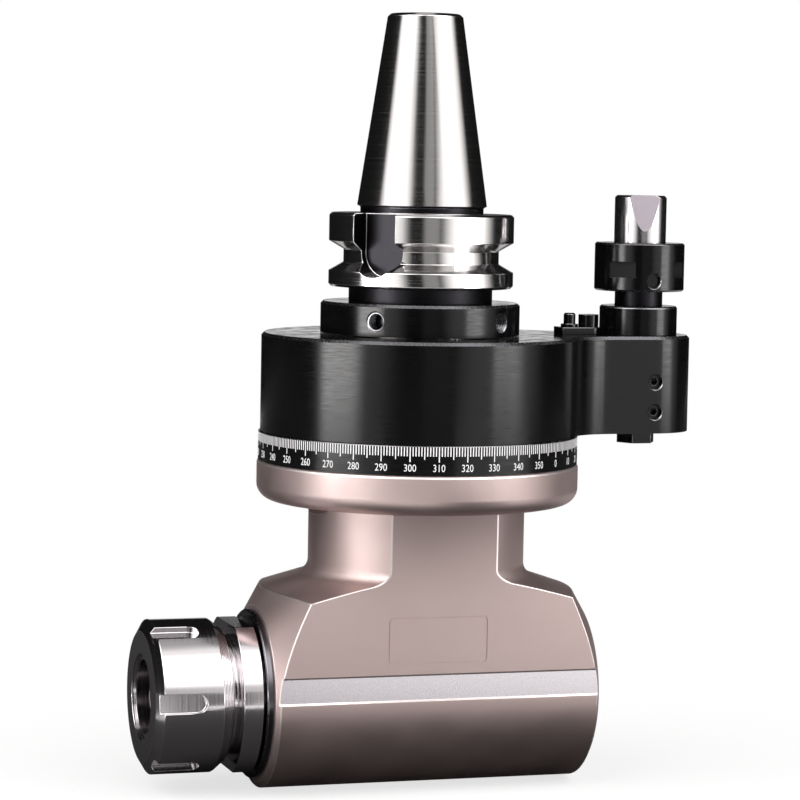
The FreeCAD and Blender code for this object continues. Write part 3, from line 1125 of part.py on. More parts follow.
def output_spindle():
    """Level spindle with the collet taper, its bearings, sleeve, locknut and gland."""
    spindle = new_body("output_spindle", drop="spindle_drop")
    tail = plus("rear_bearing_reach", "rear_bearing_width", "locknut_width", "tail_rise")
    seat = half("gear_seat_dia")
    race = half("lower_seat_dia")
    front, collar_back = FRONT_BEARING, NOSE_COLLAR
    collar_front = plus(collar_back, "nose_collar_width")
    mouth = half("collet_mouth_dia")
    throat = f"({mouth} - collet_depth * tan(collet_half_angle))"
    taper_end = minus(NOSE_END, "collet_depth")
    relief_end = minus(taper_end, "collet_relief_length")
    turned(spindle, [
        (tail, "0"), (tail, half("rear_seat_dia")), ("rear_bearing_reach", half("rear_seat_dia")),
        ("rear_bearing_reach", seat), (below(OUTPUT_HUB_TOP), seat),
        (below(OUTPUT_HUB_TOP), race), (below(front), race),
        (below(front), SPINDLE_STEP), (below(collar_back), SPINDLE_STEP),
        (below(collar_back), half("nose_collar_dia")),
        (below(collar_front), half("nose_collar_dia")),
        (below(collar_front), half("nose_thread_dia")),
        (below(minus(NOSE_END, "nose_bevel")), half("nose_thread_dia")),
        (below(NOSE_END), minus(half("nose_thread_dia"), "nose_bevel")),
        (below(NOSE_END), mouth), (below(taper_end), throat),
        (below(taper_end), half("collet_relief_dia")),
        (below(relief_end), half("collet_relief_dia")), (below(relief_end), "0")],
        axis="H_Axis")
    flats = sketch_on(spindle, "XY_Plane", "nose_flats", ("0", "0", half("nose_collar_flats")))
    wide = half("nose_collar_dia")
    outline(flats, [(below(collar_front), f"0 - {wide}"), (below(collar_back), f"0 - {wide}"),
                    (below(collar_back), wide), (below(collar_front), wide)])
    cut = extruded(spindle, flats, "nose_collar_dia", kind="Pocket", backwards=True)
    polar(spindle, [cut], "X_Axis", "2")
    keyway = sketch_on(spindle, "XY_Plane", "output_keyway", ("0", "0", KEY_FLOOR))
    outline(keyway, [(below(OUTPUT_HUB_TOP), "0 - key_width / 2"),
                     (below(OUTPUT_KEY_END), "0 - key_width / 2"),
                     (below(OUTPUT_KEY_END), "key_width / 2"),
                     (below(OUTPUT_HUB_TOP), "key_width / 2")])
    extruded(spindle, keyway, "gear_seat_dia", kind="Pocket", backwards=True)

    for number, name in enumerate(("front_bearing", "second_bearing")):
        base = minus(FRONT_BEARING, f"{number} * thin_bearing_width")
        for inner, suffix in ((True, "_inner_race"), (False, "_outer_race")):
            race_ring = new_body(name + suffix, drop="spindle_drop")
            bearing_ring(race_ring, inner, "lower_seat_dia", "thin_bearing_dia",
                         below(base), below(minus(base, "thin_bearing_width")), axis="H_Axis")
    for inner, name in ((True, "rear_bearing_inner_race"), (False, "rear_bearing_outer_race")):
        ring = new_body(name, drop="spindle_drop")
        bearing_ring(ring, inner, "rear_seat_dia", "rear_bearing_dia", "rear_bearing_reach",
                     plus("rear_bearing_reach", "rear_bearing_width"), axis="H_Axis")
    sleeve = new_body("spindle_sleeve", drop="spindle_drop")
    outer = half("sleeve_dia")
    turned(sleeve, [(below(GEAR_FRONT), seat), (below(GEAR_FRONT), outer),
                    ("rear_bearing_reach", outer), ("rear_bearing_reach", seat)],
           axis="H_Axis")
    locknut = new_body("spindle_locknut", drop="spindle_drop")
    start = plus("rear_bearing_reach", "rear_bearing_width")
    stop = plus(start, "locknut_width")
    turned(locknut, [(start, half("rear_seat_dia")), (start, half("locknut_dia")),
                     (stop, half("locknut_dia")), (stop, half("rear_seat_dia"))],
           axis="H_Axis")


def nose_gland():
    """Dark gland that holds the front bearings, with the nose seal in its bore."""
    gland = new_body("nose_gland", drop="spindle_drop")
    end = BODY_END
    rim = half(GLAND_DIA)
    face = plus(end, "gland_rim")
    turned(gland, [(below(FRONT_BEARING), half("gland_bore")),
                   (below(FRONT_BEARING), half("thin_bearing_dia")),
                   (below(end), half("thin_bearing_dia")), (below(end), rim),
                   (below(minus(face, "gland_edge")), rim),
                   (below(face), minus(rim, "gland_edge")),
                   (below(face), half("gland_bore"))], axis="H_Axis")
    seal = new_body("nose_seal", drop="spindle_drop")
    lip = plus(SPINDLE_STEP, "running_gap")
    seal_back = below(plus(FRONT_BEARING, "seal_gap"))
    seal_face = below(minus(face, "nose_seal_sink"))
    turned(seal, [(seal_back, plus(lip, "nose_seal_web")), (seal_back, half("gland_bore")),
                  (seal_face, half("gland_bore")), (seal_face, lip)], axis="H_Axis")


def rear_cover():
    """Flanged cover over the spindle's tail, held by four cap screws."""
    cover = new_body("rear_cover", drop="spindle_drop")
    end = BODY_END
    floor = minus(end, "cover_height")
    spigot = minus(half("rear_bearing_dia"), "cover_play")
    bearing = plus("rear_bearing_reach", "rear_bearing_width")
    hollow = plus(half("locknut_dia"), "locknut_room")
    hollow_end = plus(bearing, "locknut_width", "tail_room")
    turned(cover, [(bearing, hollow), (bearing, spigot), (floor, spigot),
                   (floor, half("cover_dia")), (minus(end, "cover_edge"), half("cover_dia")),
                   (end, minus(half("cover_dia"), "cover_edge")), (end, "0"), (hollow_end, "0"),
                   (hollow_end, hollow)], axis="H_Axis")
    sinks = sketch_on(cover, "YZ_Plane", "cover_sinks", ("0", "0", end))
    holes = sketch_on(cover, "YZ_Plane", "cover_holes", ("0", "0", end))
    for spot in COVER_SPOTS:
        circle(sinks, spot, half("cover_screw_head"))
        circle(holes, spot, half("cover_screw_dia"))
    extruded(cover, sinks, "cover_screw_sink", kind="Pocket")
    extruded(cover, holes, "cover_height", kind="Pocket")
    bolts = new_body("rear_cover_screws")
    bolts.Placement = FreeCAD.Placement(
        FreeCAD.Vector(), FreeCAD.Rotation(FreeCAD.Vector(0, 1, 0), 90))
    bolts.setExpression("Placement.Base.x", formula(minus(end, "cover_screw_sink")))
    bolts.setExpression("Placement.Base.z", formula(below("spindle_drop")))
    reach = plus("cover_height", "0 - cover_screw_sink", "cover_screw_length")
    screws(bolts, COVER_SPOTS, "cover_screw_dia", reach, "cover_screw_key",
           "cover_screw_head", "cover_screw_sink - cover_play")


def collet_nut():
    """Slotted collet nut on the spindle nose, with the closing ring in its mouth."""
    nut = new_body("collet_nut", drop="spindle_drop")
    rim = half("nut_dia")
    front = plus(NUT_BACK, "nut_length")
    thread = plus(half("nose_thread_dia"), "running_gap")
    mouth = half("nut_mouth_dia")
    thread_end = plus(NOSE_END, "nut_thread_relief")
    turned(nut, [
        (below(NUT_BACK), thread), (below(NUT_BACK), half("nut_rear_dia")),
        (below(plus(NUT_BACK, "nut_rear_bevel")), rim),
        (below(minus(front, "nut_front_bevel")), rim), (below(front), half("nut_front_dia")),
        (below(front), mouth), (below(thread_end), mouth), (below(thread_end), thread)],
        axis="H_Axis")
    turn = size("nut_slot_turn")
    slot = sketch_on(nut, "XZ_Plane", "wrench_slot")
    floor = minus(rim, "nut_slot_depth")
    slot.AttachmentOffset = FreeCAD.Placement(
        FreeCAD.Vector(), FreeCAD.Rotation(FreeCAD.Vector(1, 0, 0), -turn))
    slot.setExpression("AttachmentOffset.Base.y", formula(f"{floor} * sin(nut_slot_turn)"))
    slot.setExpression("AttachmentOffset.Base.z", formula(f"{floor} * cos(nut_slot_turn)"))
    radius = half("nut_slot_width")
    slot_end(slot, (below(plus(NUT_SLOTS, radius)), "0"), radius,
             (below(plus(minus(front, NUT_SLOTS, radius), SPARE)), "0"))
    cut = extruded(nut, slot, plus("nut_slot_depth", SPARE), kind="Pocket", backwards=True)
    polar(nut, [cut], "X_Axis", "nut_slots")
    ring = new_body("nut_closing_ring", drop="spindle_drop")
    inner = half("closing_ring_bore")
    face = minus(front, "closing_ring_sink")
    back = below(minus(face, "closing_ring_width"))
    turned(ring, [(back, plus(inner, "closing_ring_sink")), (back, mouth), (below(face), mouth),
                  (below(face), inner)], axis="H_Axis")


CUTS = ("PartDesign::Pocket", "PartDesign::Groove", "PartDesign::SubtractiveLoft")


def check_and_write():
    """Stops on a failed object or a cut that removed nothing, then writes the solids."""
    doc.recompute()
    for item in doc.Objects:
        if "Invalid" in item.State or "Error" in item.State:
            raise RuntimeError(f"{item.Label}: {item.State}")
        if item.TypeId in CUTS:
            if item.Shape.Volume >= item.BaseFeature.Shape.Volume - 0.01:
                raise RuntimeError(f"{item.Label} cuts nothing")
    for part in subparts:
        shape = part.Shape
        if shape.isNull() or not shape.isValid() or not shape.Solids:
            raise RuntimeError(f"{part.Label} has no valid solid")
    for part in subparts:
        part.Shape.exportStep(f"parts/{part.Label}.step")
    print(f"{len(subparts)} sub-parts written")


taper_shank()
positioning_collar()
upright_bearings()
gear_pair()
head_body()
scale_ring()
clamp_shoes()
stop_housing()
stop_pin()
latch_plate()
output_spindle()
nose_gland()
rear_cover()
collet_nut()
check_and_write()
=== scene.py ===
import json
import math

import bmesh
import bpy
import numpy as np
from mathutils import Matrix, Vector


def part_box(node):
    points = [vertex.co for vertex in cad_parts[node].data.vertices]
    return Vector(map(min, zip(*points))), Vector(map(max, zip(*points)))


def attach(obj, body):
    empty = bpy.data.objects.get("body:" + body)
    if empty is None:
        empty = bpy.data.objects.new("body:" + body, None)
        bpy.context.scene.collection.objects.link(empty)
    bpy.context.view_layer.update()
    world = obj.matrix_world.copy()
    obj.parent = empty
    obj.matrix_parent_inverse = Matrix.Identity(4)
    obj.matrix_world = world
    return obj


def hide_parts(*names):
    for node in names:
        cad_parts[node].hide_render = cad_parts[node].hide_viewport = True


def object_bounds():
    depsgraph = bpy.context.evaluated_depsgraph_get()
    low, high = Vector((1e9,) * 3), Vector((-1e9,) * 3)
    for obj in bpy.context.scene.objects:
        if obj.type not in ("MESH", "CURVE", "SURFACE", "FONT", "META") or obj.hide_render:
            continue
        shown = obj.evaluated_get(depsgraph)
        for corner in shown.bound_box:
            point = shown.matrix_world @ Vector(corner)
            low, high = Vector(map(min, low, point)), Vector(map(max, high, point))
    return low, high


# Right angle milling head in a plain studio: a ground taper and gripper flange, a black
# oxide stop housing with a graduated ring, a satin nickel body, and a collet nut.
# Sizes below are in millimetres and turned to metres where a mesh is made.

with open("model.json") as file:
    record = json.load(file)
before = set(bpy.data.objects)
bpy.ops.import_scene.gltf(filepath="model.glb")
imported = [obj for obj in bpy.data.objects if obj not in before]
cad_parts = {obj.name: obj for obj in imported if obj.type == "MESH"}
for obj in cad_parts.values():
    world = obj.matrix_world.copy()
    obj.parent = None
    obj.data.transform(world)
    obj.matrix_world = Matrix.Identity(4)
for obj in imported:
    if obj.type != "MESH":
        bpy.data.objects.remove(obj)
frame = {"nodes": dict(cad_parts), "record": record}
cad_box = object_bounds()

MM = 0.001


def corners(node):
    """Lowest and highest corners of a node at rest, in millimetres."""
    return [np.array(corner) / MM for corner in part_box(node)]


# Places taken from the frame: the pin's axis, the spindle's axis and the ring
PIN_REACH = float(sum(corners("pin_collar"))[0]) / 2
SPINDLE_LEVEL = float(sum(corners("nose_gland"))[2]) / 2
RING_RADIUS = float(corners("scale_ring")[1][0])
RING_TOP = float(corners("scale_ring")[1][2])
FLAT = -float(corners("head_body")[0][2] - SPINDLE_LEVEL)      # half the body's width
COLLAR_RADIUS = float(corners("positioning_collar")[1][0])
ARM_SIDE = float(corners("arm_set_screws")[0][1])


# Materials

def linear(hex_colour):
    """A colour written as sRGB hex, as the linear values that a shader takes."""
    parts = [int(hex_colour[i:i + 2], 16) / 255 for i in (1, 3, 5)]
    lit = [c / 12.92 if c <= 0.04045 else ((c + 0.055) / 1.055) ** 2.4 for c in parts]
    return (*lit, 1.0)


def add(tree, kind, inputs=None, **settings):
    """Adds a shader node, sets its settings, then fills or links its inputs."""
    node = tree.nodes.new("ShaderNode" + kind)
    for name, value in settings.items():
        setattr(node, name, value)
    for name, value in (inputs or {}).items():
        if isinstance(value, bpy.types.NodeSocket):
            tree.links.new(value, node.inputs[name])
        else:
            node.inputs[name].default_value = value
    return node


def begin(name, **shader):
    """A material with its principled shader's constant values set on the sockets."""
    material = bpy.data.materials.new(name)
    material.use_nodes = True
    tree = material.node_tree
    tree.nodes.clear()
    surface = add(tree, "BsdfPrincipled", shader)
    add(tree, "OutputMaterial", {"Surface": surface.outputs["BSDF"]})
    return material, tree, surface


def ranged(tree, value, low, high, start=0.3, end=0.7):
    """A value between start and end spread over low to high."""
    return add(tree, "MapRange", {"Value": value, "From Min": start, "From Max": end,
                                  "To Min": low, "To Max": high}).outputs[0]


def raised(tree, surface, height, depth):
    """Gives a surface fine relief of depth mm from a height pattern."""
    bump = add(tree, "Bump", {"Height": height, "Strength": 1.0, "Distance": depth * MM})
    tree.links.new(bump.outputs[0], surface.inputs["Normal"])


def lathe_line(tree, axis):
    """One value that grows along the profile of a turned piece, so rings follow it.

    It is the distance from the axis plus the place along the axis, in metres; axis is
    "z" for what turns on the shank's axis, and "x" for the spindle's.
    """
    where = add(tree, "TexCoord").outputs["Object"]
    if axis == "x":
        where = add(tree, "Mapping", {"Vector": where,
                                      "Location": (0, 0, -SPINDLE_LEVEL * MM)}).outputs[0]
    parts = add(tree, "SeparateXYZ", {0: where})
    along = parts.outputs["Z" if axis == "z" else "X"]
    across = [parts.outputs[i] for i in ("XY" if axis == "z" else "YZ")]
    flat = add(tree, "CombineXYZ", {0: across[0], 1: across[1]})
    radius = add(tree, "VectorMath", {0: flat.outputs[0]}, operation="LENGTH")
    return add(tree, "Math", {0: radius.outputs["Value"], 1: along}).outputs[0]


def turned_steel(name, colour, roughness, axis, pitch, depth):
    """Steel turned or ground on its axis, with rings of fine marks pitch mm apart."""
    material, tree, surface = begin(name, **{
        "Base Color": linear(colour), "Metallic": 1.0, "Roughness": roughness})
    rings = add(tree, "TexNoise", {
        "W": lathe_line(tree, axis), "Scale": 1.0 / (pitch * MM), "Detail": 3.0,
        "Roughness": 0.6}, noise_dimensions="1D").outputs["Fac"]
    tree.links.new(ranged(tree, rings, roughness - 0.04, roughness + 0.05),
                   surface.inputs["Roughness"])
    raised(tree, surface, rings, depth)
    return material


def blasted_nickel(name, colour, roughness):
    """Satin nickel plate on bead blasted steel: warm grey metal with a fine, even grit.

    The grit of the real one is about 0.1 mm, drawn at 0.4 mm so that it shows.
    """
    material, tree, surface = begin(name, **{
        "Base Color": linear(colour), "Metallic": 1.0, "Roughness": roughness})
    where = add(tree, "TexCoord").outputs["Object"]
    grit = add(tree, "TexNoise", {"Vector": where, "Scale": 1.0 / (0.4 * MM),
                                  "Detail": 2.0}).outputs["Fac"]
    patches = add(tree, "TexNoise", {"Vector": where, "Scale": 1.0 / (16 * MM),
                                     "Detail": 3.0}).outputs["Fac"]
    tree.links.new(ranged(tree, patches, roughness - 0.04, roughness + 0.04),
                   surface.inputs["Roughness"])
    raised(tree, surface, grit, 0.018)
    return material


def grained(name, colour, metallic, roughness, grain, stretch=(1, 1, 1), depth=0.003,
            swing=0.0):
    """A finish with a fine grain, drawn out along an axis where it was ground that way.

    swing lightens and darkens the colour with the grain.
    """
    material, tree, surface = begin(name, **{
        "Base Color": linear(colour), "Metallic": metallic, "Roughness": roughness})
    if not metallic:
        surface.inputs["Specular IOR Level"].default_value = 0.3
    where = add(tree, "Mapping", {"Vector": add(tree, "TexCoord").outputs["Object"],
                                  "Scale": stretch}).outputs[0]
    noise = add(tree, "TexNoise", {"Vector": where, "Scale": 1.0 / (grain * MM),
                                   "Detail": 3.0}).outputs["Fac"]
    raised(tree, surface, noise, depth)
    tree.links.new(ranged(tree, noise, roughness - 0.06, roughness + 0.06),
                   surface.inputs["Roughness"])
    if swing:
        light = ranged(tree, noise, 1.0 - swing, 1.0)
        tint = add(tree, "VectorMath", {0: linear(colour)[:3], "Scale": light},
                   operation="SCALE")
        tree.links.new(tint.outputs[0], surface.inputs["Base Color"])
    return material


# Hardened steel, ground on its axis: a clear mirror with faint rings. Real grinding marks
# are some hundredths of a millimetre apart; here and below they are drawn ten times coarser
ground_taper = turned_steel("ground_taper_steel", "#e2e0df", 0.13, "z", 0.5, 0.0005)
# Hardened steel, turned and polished: a mirror in which the rings bend the lights a little
polished_nose = turned_steel("polished_nose_steel", "#dad6d8", 0.13, "x", 0.7, 0.001)
# The pin, ground on its axis too: a touch duller than the taper
pin_steel = turned_steel("ground_pin_steel", "#d2cfd1", 0.18, "z", 0.5, 0.0008)
# The pin's lead-in, ground flat across its axis: pale and matt, with no mirror image
facet_steel = grained("matt_ground_facet", "#bdb4bd", 1.0, 0.42, 0.25, (0.1, 0.1, 1), 0.003)
# Edges machined on bright steel: a light line round each form
bright_edge = grained("machined_steel_edge", "#e4e2e4", 1.0, 0.2, 0.6)
# Dark steel: the shank's drive slots aren't ground and keep the dark skin of the heat treatment;
# on the shank's relief beside the flange and on the pin's neck below its collar it is painted
# shade
dark_skin_and_painted_shade = grained("heat_treated_skin_and_painted_shade", "#29282b", 1.0, 0.34, 0.3, depth=0.004)
# Oiled black oxide on turned steel: near black, with a clear gloss and short lathe marks
housing_black = grained("housing_black_oxide", "#070708", 0.0, 0.17, 0.3, (0.06, 0.06, 1),
                        0.002)
# A thin black oxide on polished steel: dark grey metal, which still mirrors the lights
nose_black = grained("nose_black_oxide", "#5c5a5e", 1.0, 0.18, 0.3, (1, 0.06, 0.06), 0.002)
# Black oxide on blasted steel: flat black that shows no lights
matt_oxide = grained("matt_black_oxide", "#0a0a0a", 0.0, 0.6, 0.3, depth=0.004)
# Edges where the black oxide has rubbed away: grey steel that catches the light
rubbed_oxide = grained("rubbed_black_oxide", "#8a898d", 1.0, 0.25, 0.8, depth=0.001)
# Nickel plate on blasted steel: a warm grey satin that spreads the lights into soft bands
nickel = blasted_nickel("bead_blasted_nickel", "#c6b3b0", 0.46)
# Nickel plate on a broken edge, which blasting leaves smoother: a pale, thin line
nickel_edge = grained("broken_nickel_edge", "#f0e6e4", 1.0, 0.4, 0.8)
# Steel ground bare along the body: pale and streaky, with marks along the strip
ground_strip = grained("ground_strip_steel", "#ece7ec", 1.0, 0.3, 0.25, (0.35, 1, 1),
                       0.004, 0.18)
# Ground races, gears and spacers inside the head: even, bright steel
bearing_steel = grained("ground_bearing_steel", "#c8c8ca", 1.0, 0.2, 0.6)
# Drawn spring steel: a grey satin
spring_wire = grained("drawn_spring_wire", "#a8a8ac", 1.0, 0.35, 0.4)
# Moulded nitrile rubber of the seals: dull, soft black
rubber = grained("moulded_nitrile_rubber", "#1d1d1e", 0.0, 0.6, 0.5)
# White paint rubbed into engraved marks: matt, a little grey
white_fill = grained("white_filled_engraving", "#d8d8da", 0.0, 0.55, 0.3)


# Shapes worked out as arrays

def grid_faces(rows, columns, wrap_rows, wrap_columns):
    """Four-sided faces between neighbouring points of a grid, closed where it wraps."""
    down = np.arange(rows if wrap_rows else rows - 1)
    along = np.arange(columns if wrap_columns else columns - 1)
    row, column = np.meshgrid(down, along, indexing="ij")
    after, beside = (row + 1) % rows, (column + 1) % columns
    faces = np.stack([row * columns + column, row * columns + beside,
                      after * columns + beside, after * columns + column], axis=-1)
    return faces.reshape(-1, 4)


def new_mesh(name, points, faces, materials, which=0):
    """A mesh from arrays of points in mm and of faces, turned outwards.

    which is the place in materials of the one that all its faces take.
    """
    mesh = bpy.data.meshes.new(name)
    mesh.from_pydata((np.asarray(points) * MM).tolist(), [], [list(f) for f in faces])
    for material in materials:
        mesh.materials.append(material)
    mesh.polygons.foreach_set("material_index", np.full(len(mesh.polygons), which, np.int32))
    work = bmesh.new()
    work.from_mesh(mesh)
    bmesh.ops.recalc_face_normals(work, faces=work.faces)
    work.to_mesh(mesh)
    work.free()
    return mesh


def shown(name, mesh, body=None):
    """An object for a mesh, riding on a body where one is given."""
    piece = bpy.data.objects.new(name, mesh)
    bpy.context.scene.collection.objects.link(piece)
    if body:
        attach(piece, body)
    return piece


def upright_frame(outwards):
    """Three directions for a turned piece: two across its axis, and the axis."""
    axis = np.asarray(outwards, float) / np.linalg.norm(outwards)
    helper = np.array([0.0, 0.0, 1.0]) if abs(axis[2]) < 0.9 else np.array([1.0, 0.0, 0.0])
    first = np.cross(helper, axis)
    first /= np.linalg.norm(first)
    return first, np.cross(axis, first), axis


def around(profile, foot, outwards, count, relief=None):
    """Points of a profile of (radius, height) pairs carried round an axis.

    The point at turn t and profile place p is foot + radius(p) * (cos t * first
    + sin t * second) + height(p) * axis. relief adds to the radius and may hang on t,
    which makes a thread's helix.
    """
    first, second, axis = upright_frame(outwards)
    turn = np.linspace(0.0, 2 * np.pi, count, endpoint=False)[:, None]
    radius, height = (np.asarray(profile, float)[None, :, i] for i in (0, 1))
    if relief is not None:
        radius = radius + relief(turn, height)
    ring = (np.cos(turn)[..., None] * first + np.sin(turn)[..., None] * second)
    points = foot + radius[..., None] * ring + height[..., None] * axis
    return points.reshape(-1, 3)


def loop_round(name, profile, foot, outwards, count, materials, relief=None):
    """A closed ring: a closed profile carried all the way round an axis."""
    points = around(profile, foot, outwards, count, relief)
    faces = grid_faces(count, len(profile), True, True)
    return new_mesh(name, points, faces, materials)


def plug_round(name, profile, foot, outwards, count, materials, which):
    """A closed plug: an open profile carried round an axis, with a flat face at each end."""
    points = around(profile, foot, outwards, count)
    rings = len(profile)
    faces = grid_faces(count, rings, True, False).tolist()
    ends = np.arange(count) * rings
    return new_mesh(name, points, faces + [ends.tolist(), (ends + rings - 1).tolist()],
                    materials, which)


def rounded_path(low, high, radius, steps):
    """Points round a rectangle with rounded corners, and their outward directions.

    Each corner is a quarter circle: its centre plus radius times (cos a, sin a).
    """
    left, foot = np.array(low) + radius
    right, top = np.array(high) - radius
    centres = np.array([(right, top), (left, top), (left, foot), (right, foot)])
    angle = np.linspace(0, np.pi / 2, steps)[None, :] + np.arange(4)[:, None] * np.pi / 2
    out = np.stack([np.cos(angle), np.sin(angle)], axis=-1)
    return (centres[:, None] + radius * out).reshape(-1, 2), out.reshape(-1, 2)


# Cutters for what is countersunk or engraved

def countersink(foot, outwards, radius, width, materials):
    """A cone that widens a hole's mouth from its radius by width, at 45 degrees."""
    profile = [(radius - 0.3, -0.3 - width), (radius + width + 0.6, 0.6)]
    return plug_round("countersink", profile, np.array(foot, float), outwards, 48,
                      materials, 1)


def on_rim(radius, turn, level):
    """A point on an upright cylinder, and outwards, at degrees from the front."""
    heading = np.array([math.sin(math.radians(turn)), -math.cos(math.radians(turn)), 0.0])
    return heading * radius + np.array([0.0, 0.0, level]), heading


ENGRAVED_LOW, ENGRAVED_HIGH = (-18.9, -151.3), (15.4, -135.9)      # x and z of the frame
ENGRAVED_CORNER = 1.6
GROOVE_WIDTH, GROOVE_DEPTH = 0.45, 0.25


def engraved_groove(materials):
    """A groove that runs round a rounded rectangle on the body's front flat.

    A square of side GROOVE_WIDTH is carried along the path, across it and into the flat.
    """
    path, out = rounded_path(ENGRAVED_LOW, ENGRAVED_HIGH, ENGRAVED_CORNER, 7)
    across = np.array([-1, 1, 1, -1]) * GROOVE_WIDTH / 2
    into = np.array([GROOVE_DEPTH, GROOVE_DEPTH, -GROOVE_DEPTH, -GROOVE_DEPTH])
    spread = path[:, None, :] + across[None, :, None] * out[:, None, :]
    depth = np.broadcast_to(-FLAT + into[None, :], spread.shape[:2])
    points = np.stack([spread[..., 0], depth, spread[..., 1]], axis=-1).reshape(-1, 3)
    return new_mesh("groove", points, grid_faces(len(path), 4, True, True), materials)


# Finished copies of the visible parts

HARD_EDGE = 28.0        # degrees between faces from which an edge shows
FREE_BEVEL = 0.3        # mm; a bevel from this width on isn't narrowed by short edges nearby
SAME_POINT = 0.002      # mm between corners that are one
SAME_FACE = 0.06        # degrees between triangles that make one face
CHAMFER_TILT = (0.5, 0.87)      # upward share of a chamfer's normal, sloping 30 to 60 degrees


def cut_out(block, cutter):
    """Adds the step that takes a cutter's shape out of a block; returns the tool."""
    tool = shown("cutting_tool", cutter)
    cut = block.modifiers.new("cut", "BOOLEAN")
    cut.object = tool
    cut.operation = "DIFFERENCE"
    cut.solver = "EXACT"
    return tool


def worked(mesh, edge, cutters, engraved):
    """The mesh with the cutters' shapes taken out, its edges broken, and then engraved.

    edge is the width of the broken edges in mm; they take the second material.
    """
    block = shown("worked_block", mesh)
    tools = [cut_out(block, cutter) for cutter in cutters]
    broken = block.modifiers.new("broken_edges", "BEVEL")
    broken.width = edge * MM
    broken.segments = 2
    broken.limit_method = "ANGLE"
    broken.angle_limit = math.radians(HARD_EDGE)
    broken.material = 1
    broken.use_clamp_overlap = edge < FREE_BEVEL
    tools += [cut_out(block, cutter) for cutter in engraved]
    seen = bpy.context.evaluated_depsgraph_get()
    result = bpy.data.meshes.new_from_object(block.evaluated_get(seen))
    for item in [block] + tools:
        bpy.data.objects.remove(item)
    return result


def hardened(work):
    """Marks the edges that show as lines; the rest are shaded smoothly."""
    limit = math.radians(HARD_EDGE)
    for edge in work.edges:
        edge.smooth = (len(edge.link_faces) == 2 and edge.calc_face_angle(0.0) < limit
                       and len({face.material_index for face in edge.link_faces}) == 1)
    for face in work.faces:
        face.smooth = True


def joined(node, chamfers, patches):
    """A copy of a node's mesh with its triangles joined to whole faces.

    chamfers says whether sloping faces take the second material, the edges' one.
    patches gives functions of a face's centre in mm and its normal that say whether it
    takes the third material, the fourth, and so on.
    """
    work = bmesh.new()
    work.from_mesh(frame["nodes"][node].data)
    bmesh.ops.remove_doubles(work, verts=work.verts, dist=SAME_POINT * MM)
    bmesh.ops.dissolve_limit(work, angle_limit=math.radians(SAME_FACE), verts=work.verts,
                             edges=work.edges)
    for face in work.faces:
        face.material_index = 0
        centre = face.calc_center_median() / MM
        if chamfers and CHAMFER_TILT[0] < abs(face.normal.z) < CHAMFER_TILT[1]:
            face.material_index = 1
        for number, patch in enumerate(patches):
            if patch(centre, face.normal):
                face.material_index = 2 + number
    hardened(work)
    mesh = bpy.data.meshes.new(node)
    work.to_mesh(mesh)
    work.free()
    return mesh


def finished(node, materials, edge, cutters=(), chamfers=False, patches=(),
             engraved=()):
    """Puts a smooth copy of a node, with its edges broken, in the node's place."""
    mesh = joined(node, chamfers, patches)
    for material in materials:
        mesh.materials.append(material)
    mesh = worked(mesh, edge, cutters, engraved)
    if cutters or engraved:
        work = bmesh.new()
        work.from_mesh(mesh)
        hardened(work)
        work.to_mesh(mesh)
        work.free()
    piece = shown(node + "_finish", mesh, BODY_OF[node])
    weights = piece.modifiers.new("flat_faces", "WEIGHTED_NORMAL")
    weights.keep_sharp = True
    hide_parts(node)


BODY_OF = {node: body for body, nodes in frame["record"]["behaviour"]["bodies"].items()
           for node in nodes}

# Materials of a piece: its faces, its broken edges, then one for each of its patches
# The dark third material of STEEL and PIN: skin in the shank's drive slots, painted shade on the
# shank's relief and on the pin's neck
STEEL = (ground_taper, bright_edge, dark_skin_and_painted_shade)
NOSE = (polished_nose, bright_edge)
BLACK = (housing_black, rubbed_oxide, matt_oxide)
PIN = (pin_steel, bright_edge, dark_skin_and_painted_shade, facet_steel)
DARK_NOSE = (nose_black, rubbed_oxide)
BODY = (nickel, nickel_edge, ground_strip)

COLLAR_HOLE_TURNS = (-43.7, 35.7, 136.3, 215.7)      # degrees from the front
COLLAR_HOLE_LEVEL = float(sum(corners("collar_set_screws"))[2]) / 2
COLLAR_HOLE_RADIUS = 3.0
GRUB_RADIUS = 2.5
STRIP_LEVELS = (-163.9, -155.3)
STRIP_FLAT = FLAT - 0.5
FLANGE_TOP, FLANGE_FOOT, FLANGE_RADIUS = 2.0, 27.0, 31.5
SLOT_TURN, SLOT_HALF, SLOT_FLOOR, SLOT_FOOT = -49.0, 8.05, 22.5, -22.0
ARM_HALF = ARM_SIDE - 2.0                            # the arm's side, on the front
ARM_SCREW_LEVELS = (-58.6, -69.0)
PIN_SCREW_TURN, PIN_SCREW_LEVEL = -2.0, -24.0
PIN_COLLAR_RADIUS = float(corners("pin_collar")[1][0]) - PIN_REACH


def unground(centre, normal):
    """Whether a face of the shank is in a drive slot, or in the relief beside the flange that is
    painted dark as shade.
    """
    heading = math.radians(SLOT_TURN)
    along = abs(centre.x * math.sin(heading) - centre.y * math.cos(heading))
    across = abs(centre.x * math.cos(heading) + centre.y * math.sin(heading))
    beside = (math.hypot(centre.x, centre.y) < FLANGE_RADIUS - 2.0
              and (-0.6 < centre.z + FLANGE_TOP < 1.8 or -6.0 < centre.z + FLANGE_FOOT < 0.4))
    in_slot = (across < SLOT_HALF + 0.1 and along > SLOT_FLOOR - 0.2
               and SLOT_FOOT < centre.z < -FLANGE_TOP - 0.05)
    return beside or in_slot


def spanner_seat(centre, normal):
    """Whether a face of the pin's collar is in one of its sunk spanner seats."""
    across = math.hypot(centre.x - PIN_REACH, centre.y)
    return abs(normal.z) < 0.5 and 10.0 < across < PIN_COLLAR_RADIUS - 0.1


def below_collar(centre, normal):
    """Whether a face is on the pin's neck below its collar, which is painted dark as shade."""
    return centre.z < -28.0


def on_facet(centre, normal):
    """Whether a face is the pin's sloping lead-in facet."""
    return 0.08 < normal.z < 0.4


